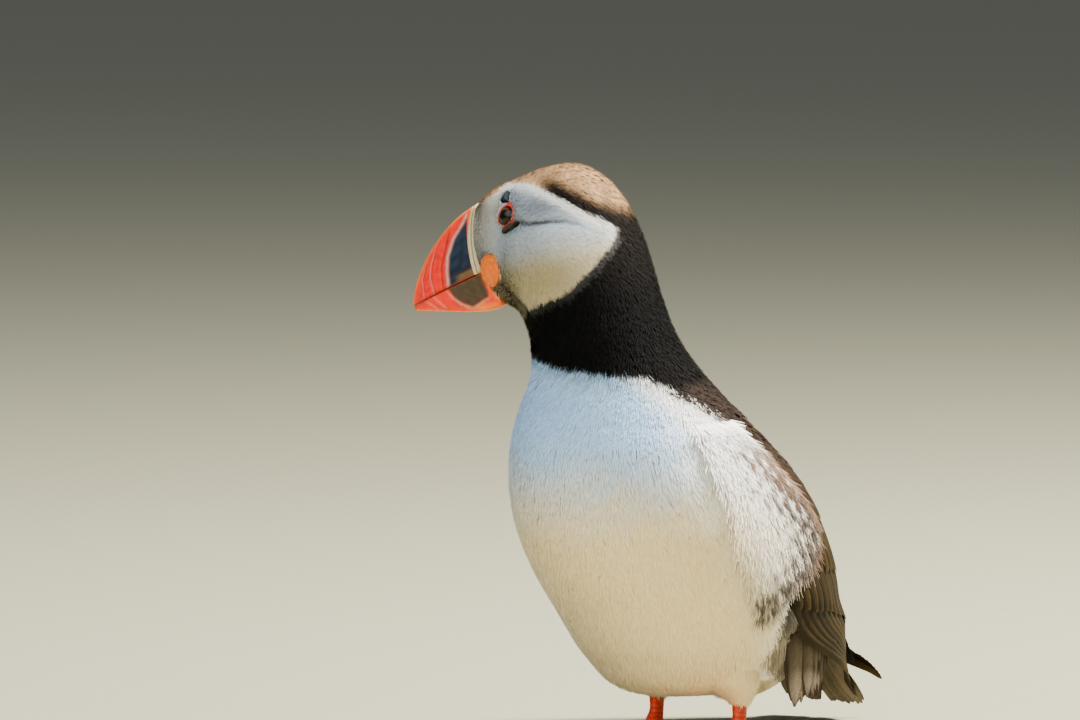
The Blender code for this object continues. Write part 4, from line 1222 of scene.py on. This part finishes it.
lowPanel = ((101.0, 161.0), (96.0, 163.8), (91.0, 165.9), (86.4, 166.4), (84.9, 161.0), (85.7, 157.9),
            (89.9, 155.3), (92.2, 154.0), (96.6, 155.4), (99.2, 157.6))
lowGrooves = (((108.2, 158.4), (105.4, 155.6), (103.0, 153.4)),
              ((111.2, 156.4), (108.4, 154.3), (106.0, 152.6)),
              ((102.4, 160.8), (99.4, 156.9), (93.0, 153.2)))
lowStrip = ((86.0, 166.5), (84.2, 158.6), (82.4, 156.4), (80.4, 155.2))


def bulge(share, height):
    # how far the bill's base stands forward of its side outline at a height, less towards the tip
    level = np.clip((height - faceBow["low"]) / faceBow["rise"], 0, 1)
    return faceBow["depth"] * (1 - share)**3 * 4 * level * (1 - level)


def billPlace(share, level, topLine, lowLine):
    # place on the bill's side and its distances in mm from the upper and the lower line
    top, low = curve(billShape[topLine], share), curve(billShape[lowLine], share)
    place, tall = low + (top - low) * level[..., None], np.linalg.norm(top - low, axis=-1)
    forward, height = place[..., 0], place[..., 1]
    return forward + bulge(share, height), height, tall * (1 - level), tall * level


def curve(points, share):
    # cubic Bezier
    share = np.asarray(share, float)[..., None]
    a, b, c, d = (np.asarray(point, float) for point in points)
    return (1 - share)**3 * a + 3 * share * (1 - share)**2 * b + 3 * share**2 * (1 - share) * c + share**3 * d


def behind(points, forward, height):
    # how far a place lies in front of a line drawn from top to bottom, in mm forwards
    points = np.array(sorted(points, key=lambda point: point[1]))
    return forward - np.interp(height, points[:, 1], points[:, 0])


def upperBill(share, level):
    # colour and relief of the upper half at share along it and level above the cutting edge
    forward, height, toTop, toEdge = billPlace(share, level, "culmen", "cuttingEdge")
    stain = mottle(forward, height, 5.0, 7)
    ahead = behind(billRidge, forward, height)
    colour = np.broadcast_to(horn["red"], (*forward.shape, 3))
    colour = blend(colour, horn["redDeep"], 0.35 * smoothStep(stain, 0.2, 1.0))
    colour = blend(colour, horn["orange"], 0.9 * smoothStep(-toTop, -2.2, -0.7))
    colour = blend(colour, horn["gold"], 0.8 * smoothStep(-toTop, -0.9, -0.1))
    relief = np.zeros(forward.shape)
    for number, line in enumerate(billGrooves):
        away = lineDistance(line, forward, height)
        fade = smoothStep(toTop, 0.8, 3.5)
        if number == 0:
            colour = blend(colour, horn["brown"], 0.55 * bandOf(away, 0.45) * fade)
            relief -= 0.22 * bandOf(away, 0.6) * fade
        else:
            colour = blend(colour, horn["redDeep"], 0.75 * bandOf(away - 0.45, 0.4) * fade)
            colour = blend(colour, horn["groove"], 0.8 * bandOf(away, 0.34) * fade)
            relief -= 0.42 * bandOf(away, 0.65) * fade
    slate = smoothStep(-ahead, 0.2, 0.9)
    panel = blend(horn["slate"], horn["slateDeep"], smoothStep(stain + (176 - height) * 0.06, -0.5, 1.2))
    colour = blend(colour, panel, slate)
    gape = smoothStep(-toEdge, -3.2, -2.0) * slate * smoothStep(-forward, -98.5, -95)
    colour = blend(colour, horn["gape"], 0.85 * gape)
    colour = blend(colour, horn["brown"], 0.8 * bandOf(toEdge - 2.9, 0.35) * slate
                   * smoothStep(-forward, -99, -96))
    colour = blend(colour, horn["ridge"], 0.8 * bandOf(ahead, 0.62) * smoothStep(toTop, 0.2, 1.6))
    relief += 0.42 * bandOf(ahead, 0.85) - 0.30 * slate * (1 - bandOf(toTop, 1.5))
    colour = blend(colour, horn["edge"], 0.8 * bandOf(toEdge, 0.55))
    relief += 0.12 * bandOf(toEdge - 0.3, 0.6)
    return colour, relief


def lowerBill(share, level):
    # the lower half: a grey-brown panel with a pale rim, oblique pale grooves, an orange strip behind
    forward, height, toEdge, toKeel = billPlace(share, level, "cuttingEdge", "keel")
    stain = mottle(forward, height, 4.0, 8)
    colour = np.broadcast_to(horn["red"], (*forward.shape, 3))
    colour = blend(colour, horn["orange"], 0.55 * smoothStep(-toKeel, -3.0, -0.5))
    relief = np.zeros(forward.shape)
    warm = smoothStep(-height, -157.5, -153.5) * smoothStep(-forward, -97, -87)
    colour = blend(colour, horn["gold"], 0.75 * warm)
    for line in lowGrooves:
        away = lineDistance(line, forward, height)
        colour = blend(colour, horn["groove"], 0.85 * bandOf(away, 0.45))
        relief -= 0.28 * bandOf(away, 0.6)
    panel = outlineDistance(lowPanel, forward, height)
    below = smoothStep(-height, -159.5, -156.5)
    colour = blend(colour, horn["lowRim"], 0.75 * bandOf(panel - 0.45, 0.5) * below)
    relief += 0.2 * bandOf(panel - 0.5, 0.6) * below
    slate = blend(horn["lowSlate"], horn["lowSlate"] * 0.75, 0.5 + 0.5 * stain)
    colour = blend(colour, slate, smoothStep(-panel, -0.5, 0.7))
    back = -behind(lowStrip, forward, height)
    colour = blend(colour, horn["cere"] * 0.6 + horn["gold"] * 0.4, smoothStep(back, 0.4, 1.0))
    colour = blend(colour, horn["orange"], 0.95 * bandOf(back, 1.0))
    colour = blend(colour, horn["gold"], 0.8 * smoothStep(-toKeel, -1.0, -0.1) * smoothStep(forward, 80, 86))
    colour = blend(colour, horn["edge"], 0.7 * bandOf(toEdge, 0.5))
    return colour, relief


def cereBill(share, level):
    # raised pale band at the base, with a brown line along its back
    colour = np.broadcast_to(horn["cere"], (*level.shape, 3))
    pore = wave(level * 90, share * 420 + level * 60, level * 211)
    colour = blend(colour, horn["cere"] * 0.78, 0.4 * smoothStep(pore, 0.1, 0.9))
    colour = blend(colour, horn["cereLine"], 0.85 * bandOf(share - 0.012, 0.010))
    wide = 0.075 - 0.036 * smoothStep(level, 0.35, 0.95)       # narrower towards the ridge
    colour = blend(colour, horn["orange"], smoothStep(share, wide - 0.004, wide + 0.002))
    relief = 0.45 * np.sin(np.pi * np.clip(share / wide, 0, 1)) - 0.30 * bandOf(share - 0.012, 0.012)
    return colour, relief


def billPart(name, node, lines, shares, widths, lift, paint, look):
    # rings from base to tip; each ring climbs one side, crosses the ridge and comes down the other:
    # half width = the bill's half width times the taper times a share that changes from lower to upper line
    rise = np.concatenate([np.linspace(0, 1, 90), np.linspace(1, 0, 90)[1:]])
    side = np.concatenate([np.ones(89), [0.0], -np.ones(89)])
    share, level = np.meshgrid(shares, rise, indexing="ij")
    top, low = (curve(billShape[line], share) + (0, up) for line, up in zip(lines, lift))
    widthTop, widthLow = widths
    taper = (1 - share) ** 0.75 * (1 - 0.16 * share) + 0.05
    half = billShape["halfWidth"] * taper * (widthLow + (widthTop - widthLow) * level**1.3)
    # rounded ridge or keel
    near = (level - 0.93) / 0.07 if widthTop < widthLow else (0.10 - level) / 0.10
    blunt = np.sqrt(np.clip(1 - np.clip(near, 0, 1) ** 2, 0, 1))
    colour, relief = paint(share, level)
    half = (half * blunt + relief * np.minimum(1, half / 1.5)) * side
    place = low + (top - low) * level[..., None]
    forward = place[..., 0] + bulge(share, place[..., 1]) + billShape["gap"]
    rings = turnHead(np.stack([half, -forward, place[..., 1]], axis=-1)) + frameShift
    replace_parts(finishCoat(closedLoft(name, rings, colour), *look), node)


billPart("bill_upper_horn", "bill_upper", ("culmen", "cuttingEdge"), np.linspace(0.072, 1.0, 130),
         (0.16, 1.0), (0, 0.15), upperBill, (billHorn, "bill_horn"))
billPart("bill_base_band", "bill_cere", ("culmen", "cuttingEdge"), np.linspace(-0.01, 0.075, 14),
         (0.26, 1.08), (0.1, 0.15), cereBill, (cereSkin, "bill_cere"))
billPart("bill_lower_horn", "bill_lower", ("cuttingEdge", "keel"), np.linspace(0.0, 1.0, 110), (0.98, 0.34),
         (-0.15, 0), lowerBill, (billHorn, "bill_horn"))
print("bill ready")


def midOf(name):
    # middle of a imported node's box, in mm
    low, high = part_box(name)
    return np.array((low + high) / 2) / mm


def headNormal(place):
    # outward normal of the head's form at the nearest place on it
    at, angle = np.meshgrid(np.linspace(0, 9, 181), np.arange(360.0), indexing="ij")
    point, normal, _, _, _ = surfaceFrame(trunkSurface, at, angle)
    nearest = np.argmin(np.linalg.norm(point - place, axis=-1))
    return normal.reshape(-1, 3)[nearest]


def headWay(forward, height):
    # a direction on the unturned head's side, turned with it
    start = turnHead(np.zeros(3))
    return turnHead(np.array([0.0, -forward, height])) - start


def facing(normal, longWay):
    # three axes: outward, across, and as near the long way as it can be
    out = unit(np.asarray(normal, float))
    across = unit(np.cross(longWay, out))
    return out, across, np.cross(out, across)


def domeOn(name, centre, axes, outline, heightAt, colourAt, rings=22, around=72, sink=1.2):
    # a low dome: polar grid out to a closed outline, its height a function of share outwards and angle
    share, turn = np.meshgrid(np.linspace(0, 1, rings), np.arange(around) * 2 * np.pi / around, indexing="ij")
    across, longWay = outline(turn)
    place = (centre + axes[0] * heightAt(share, turn)[..., None] + axes[1] * (share * across)[..., None]
             + axes[2] * (share * longWay)[..., None])
    points = np.concatenate([place, place[-1:] - axes[0] * sink])
    colours = colourAt(np.concatenate([share, share[-1:]]), np.concatenate([turn, turn[-1:]]))
    return closedLoft(name, points, colours)


eyeTints = {"pupil": "#030303", "iris": "#1f1706", "irisRim": "#0b0803", "irisLight": "#3d2f0a",
            "ring": "#d4200a", "ringFront": "#a1400f", "plate": "#202a35", "plateDark": "#0d0f12",
            "bar": "#3b352c", "gape": "#e06a00", "gapeFoldShade": "#b85200", "gapeShade": "#7a3c08"}
eyePaint = {name: hexColour(text) for name, text in eyeTints.items()}
eyeRadius = 4.9
# plates: way of the long axis on the head, half width and half length, shift of the middle, rise off the skin
eyePlates = {
    "brow_plate": {"way": (0.15, 1), "halves": (1.9, 2.9), "shift": (-0.4, -0.4), "rise": 0.7,
                   "tint": "plate"},
    "lower_plate": {"way": (1, -0.45), "halves": (1.15, 3.7), "shift": (0.1, 0.5), "rise": 0.0,
                    "tint": "bar"},
}


def makeEyeball(word, centre, axes):
    # a sphere whose colours run out from the optical axis: pupil, bright ring, rayed iris, dark rim
    away, turn = np.meshgrid(np.radians(np.concatenate([np.linspace(1, 60, 90), np.linspace(65, 179, 20)])),
                             np.arange(96) * 2 * np.pi / 96, indexing="ij")
    degrees = np.degrees(away)
    radius = eyeRadius + 0.35 * np.exp(-(degrees / 24) ** 4)      # the clear cornea stands a little proud
    place = centre + (axes[0] * np.cos(away)[..., None] + axes[1] * (np.sin(away) * np.cos(turn))[..., None]
                      + axes[2] * (np.sin(away) * np.sin(turn))[..., None]) * radius[..., None]
    rays = wave(turn * 23, turn * 41 + 1, turn * 67 + 2)
    light = np.clip(0.5 + 0.6 * rays, 0, 1) * bandOf(degrees - 29, 6)
    colour = blend(eyePaint["iris"], eyePaint["irisLight"], light)
    colour = blend(colour, eyePaint["irisRim"], smoothStep(degrees, 33, 40))
    colour = blend(colour, eyePaint["pupil"], 1 - smoothStep(degrees + 0.5 * rays, 20.5, 22.5))
    ball = finishCoat(closedLoft(f"eyeball_{word}", place, colour), eyeGlass, "eye_glass")
    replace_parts(ball, f"eye_{word}")


def makeEyeRing(word, centre, axes):
    # fleshy ring: a finely beaded tube round the lids, drawn out to a point above and to another behind
    around, tube = 120, 20
    turn, roll = np.meshgrid(np.radians(np.arange(around) * 360 / around),
                             np.radians(np.arange(tube) * 360 / tube), indexing="ij")
    # where the tube's turn meets the rear corner
    rear = np.pi if axes[1] @ headWay(1, 0) > 0 else 0.0

    def pointAt(middle, wide):
        # 1 at so many radians round the ring, fading over so many degrees
        return bandOf(np.degrees(np.arctan2(np.sin(turn - middle), np.cos(turn - middle))), wide)

    point = 1.15 * pointAt(np.pi / 2, 11) + 1.1 * pointAt(rear - 0.45 * np.cos(rear), 13)
    thick = 0.44 + 0.05 * wave(turn * 31, turn * 47 + roll)
    reach = 3.80 + 0.45 * point + (thick + 0.55 * point) * np.cos(roll)
    high = 3.18 - 0.18 * point + thick * 0.95 * np.sin(roll)
    place = (centre + axes[0] * high[..., None]
             + (axes[1] * np.cos(turn)[..., None] + axes[2] * np.sin(turn)[..., None]) * reach[..., None])
    colour = blend(eyePaint["ring"], eyePaint["ringFront"], smoothStep(-np.cos(turn - rear), -0.2, 0.9))
    # painted shade on the ring's inner side, where it tucks against the eye
    colour = colour * (1 - 0.35 * smoothStep(-np.cos(roll), 0.2, 1.0))[..., None]
    quads = gridQuads(around + 1, tube, closed=True) % (around * tube)
    finishCoat(closeSeams(makeMesh(f"eye_ring_{word}", place, quads, colour)), lidSkin, "eye_plate")


def makePlate(kind, word):
    # horny plate: a triangle with rounded corners above the eye, one corner up, or a rounded bar below it
    plan = eyePlates[kind]
    middle = midOf(f"{kind}_{word}") + headWay(*plan["shift"])
    axes = facing(headNormal(middle), headWay(*plan["way"]))

    def outline(turn):
        if kind == "brow_plate":
            sides = [np.maximum(np.cos(turn - np.radians(a)), 0.01) ** 9 for a in (-90, 30, 150)]
            size = 0.55 / sum(sides) ** (1 / 9)
        else:
            size = 1 - 0.05 * np.cos(2 * turn)
        return np.cos(turn) * size * plan["halves"][0], np.sin(turn) * size * plan["halves"][1]

    def rise(share, turn):
        grain = 0.05 * wave(turn * 7, share * 21 + turn * 3)
        return 1.15 * np.sqrt(np.clip(1 - share**3.5, 0, 1)) - 0.15 + grain

    def tint(share, turn):
        # painted shade towards the rim, where the plate meets the skin; the uneven dark across it is its own
        # colour
        dark = 0.75 * smoothStep(share, 0.7, 1.0) + 0.25 * wave(turn * 5, share * 17)
        return blend(eyePaint[plan["tint"]], eyePaint["plateDark"], np.clip(dark, 0, 1))

    plate = domeOn(f"{kind}_horn_{word}", middle + plan["rise"] * axes[0], axes, outline, rise, tint, 16, 60)
    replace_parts(finishCoat(plate, plateHorn, "eye_plate"), f"{kind}_{word}")


def makeEye(word):
    # eyeball, lids' ring and the two plates, set on the head's own form
    centre = midOf(f"eye_{word}") + headWay(-0.8, 0)
    axes = facing(headNormal(centre), headWay(0, 1))
    makeEyeball(word, centre, axes)
    makeEyeRing(word, centre, axes)
    for kind in eyePlates:
        makePlate(kind, word)


def makeRosette(side, word):
    # soft gape skin: a rounded cushion with folds that run out from the corner of the mouth
    middle = midOf(f"rosette_{word}")
    outward = turnHead(np.array([1.0 * side, 0, 0])) - turnHead(np.zeros(3))
    axes = facing(headNormal(middle) + 0.35 * outward, headWay(-0.85, -0.52))
    middle = middle + headWay(-1.2, 0.8) + 1.3 * axes[0]

    def outline(turn):
        up, over = np.sin(turn), np.cos(turn)
        return over * 6.9 * (1 + 0.08 * up) * (1 - 0.05 * np.cos(3 * turn)), up * 5.2 * (1 - 0.05 * over)

    def foldAt(share, turn):
        return wave(turn * 9 + share * 5, turn * 14 - share * 7, share * 19 + turn * 2)

    def rise(share, turn):
        crumple = 0.28 * foldAt(share, turn) * share * (1 - share**6)
        return 1.35 * np.sqrt(np.clip(1 - share**2.2, 0, 1)) - 0.3 * share + crumple - 0.1

    def tint(share, turn):
        # painted shade in the hollows of the folds, more towards the rim
        deep = np.clip(0.35 - 0.55 * foldAt(share, turn), 0, 1) * share
        colour = blend(eyePaint["gape"], eyePaint["gapeFoldShade"], deep)
        # painted shade round the rim, where the cushion sinks into the face
        return blend(colour, eyePaint["gapeShade"], 0.6 * smoothStep(share, 0.9, 1.0))

    piece = domeOn(f"gape_rosette_{word}", middle, axes, outline, rise, tint, 40, 160, 3.2)
    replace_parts(finishCoat(piece, gapeSkin, "rosette_skin"), f"rosette_{word}")


for side, word in sides:
    makeEye(word)
    makeRosette(side, word)
print("eyes and face skin ready")

footTints = {"leg": "#c8340f", "web": "#d8541c", "joint": "#8f2409", "sole": "#7d2f16", "claw": "#100d0a"}
footPaint = {name: hexColour(text) for name, text in footTints.items()}
toes = {"inner": (-27.0, 27.0), "middle": (0.0, 35.0), "outer": (26.0, 33.5)}     # degrees, reach in mm


def footPlace(side, degrees, run, across=0.0):
    # a place on the floor plan of a foot: along a toe and across it
    angle = np.radians(degrees + legPlace["splay"])
    ahead = legPlace["forward"] + run * np.cos(angle) - across * np.sin(angle)
    sideways = legPlace["out"] + run * np.sin(angle) + across * np.cos(angle)
    return side * sideways, -ahead


# shank from the top down: forward, out, height, half length, half width
shankRows = np.array(((-1.0, 0, 14.6, 3.2, 2.4), (-1.0, 0, 8.0, 2.8, 2.0), (0.0, 0, 4.6, 3.2, 2.7),
                      (0.3, 0, 3.2, 3.5, 3.0)))
# along a toe from the heel: share of its length, share of its own height, height of the heel
toeProfile = np.array(((-0.06, 0.0, 3.95), (0.0, 0.2, 3.7), (0.10, 0.95, 0.9), (0.28, 0.95, 0.0),
                       (0.42, 1.08, 0.0), (0.60, 0.85, 0.0), (0.75, 1.0, 0.0), (0.92, 0.82, 0.0),
                       (1.0, 0.45, 0.0)))
# claw from its root: run past the toe, half width, lowest and highest height
clawRows = np.array(((-0.4, 0.95, 0.15, 1.85), (1.0, 0.98, 0.25, 2.15), (2.6, 0.88, 0.35, 2.1),
                     (4.2, 0.66, 0.25, 1.6), (5.4, 0.40, 0.1, 0.95), (6.05, 0.14, 0.02, 0.35)))


def makeShank(side, word):
    # a tapering limb whose front and sides carry rows of scutes about 1.6 mm long
    row, turn = np.meshgrid(np.linspace(0, 3, 70), np.arange(48) * 7.5, indexing="ij")
    read, angle = readRows(shankRows, row), np.radians(turn)
    scute = 0.16 * np.abs(np.sin(np.pi * read[..., 2] / 1.6)) ** 0.6 * (0.5 + 0.5 * np.cos(angle) ** 2)
    scute = scute + 0.05 * wave(turn * 0.5 + row * 13, turn * 0.9)
    shank = np.stack([side * (legPlace["out"] + (read[..., 4] + scute) * np.sin(angle)),
                      -(legPlace["forward"] + read[..., 0] + (read[..., 3] + scute) * np.cos(angle)),
                      read[..., 2]], axis=-1) + frameShift
    colour = blend(footPaint["joint"], footPaint["leg"], smoothStep(scute, 0.0, 0.12))
    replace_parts(finishCoat(closedLoft(f"shank_{word}", shank, colour), legScute, "leg_skin"), f"leg_{word}")


def footLines():
    # the foot's lines from the heel: over each toe, over each web, and round the heel. Each has its angle,
    # start, end, shift across the toe, height, and how far it is toe rather than web
    lines, spans = [], list(toes.values())
    for number, (degrees, reach) in enumerate(spans):
        lines += [(degrees, 2.4, reach - 2.2 * share**2, 2.0 * share, 1.0 + 2.2 * (1 - share**2), 1.0)
                  for share in np.linspace(-1, 1, 9)]
        if number < len(spans) - 1:
            after, other = spans[number + 1]
            for share in (0.12, 0.25, 0.38, 0.5, 0.62, 0.75, 0.88):
                edge = (reach + (other - reach) * share) * 0.95 * (1 - 0.16 * math.sin(math.pi * share))
                lines.append((degrees + (after - degrees) * share, 2.0, edge, 0, 1.1, 0.0))
    return np.array(lines + [(angle, 1.6, 3.6, 0, 2.6, 0.3) for angle in range(60, 311, 12)])


def makeWebbedFoot(side, word):
    # the lines side by side make the upper face, and a flat sole closes it below
    line = footLines()[None]
    share = np.concatenate([np.linspace(-0.06, 0.1, 8), np.linspace(0.12, 1.0, 76)])[:, None]
    own, heel = (np.interp(share, toeProfile[:, 0], toeProfile[:, column]) for column in (1, 2))
    start, end = line[..., 1], line[..., 2]
    run = np.where(share < 0, start * (1 + share / 0.12), start + (end - start) * share)
    x, y = footPlace(side, line[..., 0], run, line[..., 3] * (0.5 + 0.5 * np.maximum(share, 0)))
    toe = line[..., 5]
    scute = np.abs(np.sin(np.pi * run / 1.5)) ** 0.6
    crumple = wave(run * 2.2 + line[..., 0], line[..., 0] * 0.9, run * 1.1)
    scales = 0.16 * toe * scute + 0.10 * (1 - toe) * crumple
    relief = scales * smoothStep(share, 0.08, 0.2) * (share < 0.985)
    z = np.maximum(line[..., 4] * own, np.where(share < 0.12, heel, 0)) + relief
    colour = blend(footPaint["web"], blend(footPaint["joint"], footPaint["leg"], scute), toe)
    colour = blend(colour, footPaint["joint"], 0.3 * (1 - toe) * smoothStep(crumple, 0.2, 0.9))
    top = np.stack([x, y, z], axis=-1)
    sole = np.stack([x, y, 0 * z], axis=-1)[[-1, 50, 20, 0]]
    foot = closedLoft(f"webbed_foot_{word}", np.concatenate([top, sole]) + frameShift,
                      np.concatenate([colour, np.broadcast_to(footPaint["sole"], sole.shape)]))
    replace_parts(finishCoat(foot, legScute, "leg_skin"), f"foot_{word}")


def makeClaws(side, word):
    # curved cones with a rounded back, one at each toe's end
    for name, (degrees, reach) in toes.items():
        row, turn = np.meshgrid(np.linspace(0, 5, 30), np.arange(24) * np.pi / 12, indexing="ij")
        read = readRows(clawRows, row)
        x, y = footPlace(side, degrees, reach + read[..., 0], read[..., 1] * np.sin(turn))
        z = (read[..., 2] + read[..., 3]) / 2 + (read[..., 3] - read[..., 2]) / 2 * np.cos(turn)
        claw = closedLoft(f"claw_{name}_horn_{word}", np.stack([x, y, z], axis=-1) + frameShift,
                          np.broadcast_to(footPaint["claw"], (*x.shape, 3)))
        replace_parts(finishCoat(claw, clawHorn, "claw_horn"), f"claw_{name}_{word}")


for side, word in sides:
    makeShank(side, word)
    makeWebbedFoot(side, word)
    makeClaws(side, word)
print("legs and feet ready")

# camera: degrees round and up, metres away, metres seen across, aim in mm from the origin; light of the room
studio = {
    "azimuth": 45.0, "elevation": 4.0, "distance": 3.0, "frameWidth": 0.3857, "sensor": 36.0,
    "aimAcross": -53.6, "aimUp": 133.9, "world": 0.36, "sky": (0.80, 0.86, 0.95),
}
# lamps round the bird: place in metres (across the view, towards the camera, up), size, watts, tint
lamps = {
    "key": {"place": (0.95, -0.05, 1.5), "size": 0.4, "watts": 265.0, "tint": (1.0, 0.94, 0.84)},
    "fill": {"place": (-1.1, 1.5, 1.7), "size": 2.2, "watts": 64.0, "tint": (0.56, 0.77, 1.0)},
    "bounce": {"place": (-0.2, 1.3, 0.02), "size": 0.28, "watts": 11.0, "tint": (1.0, 0.80, 0.45)},
}


def addObject(name, data):
    # a new object in the scene
    made = bpy.data.objects.new(name, data)
    bpy.context.scene.collection.objects.link(made)
    return made


def makeStudio():
    # camera at the bird's left front, a little above it, far off, so that the view is nearly flat
    a, el = math.radians(studio["azimuth"]), math.radians(studio["elevation"])
    right = np.array([math.cos(a), math.sin(a), 0])
    level = np.array([math.sin(a), -math.cos(a), 0])
    toCamera = level * math.cos(el) + np.array([0, 0, math.sin(el)])
    up = np.array([0, 0, math.cos(el)]) - level * math.sin(el)
    aim = (right * studio["aimAcross"] + up * studio["aimUp"] + frameShift) * mm
    place = aim + toCamera * studio["distance"]
    data = bpy.data.cameras.new("camera")
    data.sensor_width = studio["sensor"]
    data.lens = studio["sensor"] * studio["distance"] / studio["frameWidth"]
    data.clip_end = 200.0
    camera = addObject("camera", data)
    camera.matrix_world = Matrix([*zip(right, up, toCamera, place), (0, 0, 0, 1)])
    bpy.context.scene.camera = camera
    for name, plan in lamps.items():
        across, near, high = plan["place"]
        spot = right * across + level * near + np.array([0, 0, high]) + aim
        lamp = bpy.data.lights.new(name, "AREA")
        lamp.energy, lamp.size, lamp.color = plan["watts"], plan["size"], plan["tint"]
        made = addObject(name, lamp)
        made.location = spot
        made.rotation_euler = Vector(aim - spot).to_track_quat("-Z", "Y").to_euler()
    world = bpy.data.worlds.new("soft room")
    world.use_nodes = True
    sky = world.node_tree.nodes["Background"]
    sky.inputs["Color"].default_value = (*studio["sky"], 1)
    sky.inputs["Strength"].default_value = studio["world"]
    bpy.context.scene.world = world


def makeFloor():
    # plain olive-grey floor of matt paper, wide enough that no edge shows, with a faint fibre
    half = 60.0
    mesh = bpy.data.meshes.new("floor")
    corners = [(-half, -half, 0), (half, -half, 0), (half, half, 0), (-half, half, 0)]
    mesh.from_pydata(corners, [], [(0, 1, 2, 3)])
    floor = addObject("floor", mesh)
    made, tree, shader = newMaterial("matt studio paper", {"Roughness": 0.9})
    tones = {6: (*hexColour("#7f7e69"), 1), 7: (*hexColour("#87866f"), 1)}
    tone = node(tree, "ShaderNodeMix", {"data_type": "RGBA", **tones}, {"Factor": grainOf(tree, 300.0, 3.0)})
    tree.links.new(tone.outputs[2], shader.inputs["Base Color"])
    mesh.materials.append(made)


makeStudio()
makeFloor()
print("camera, lights and floor ready")
bpy.context.view_layer.update()
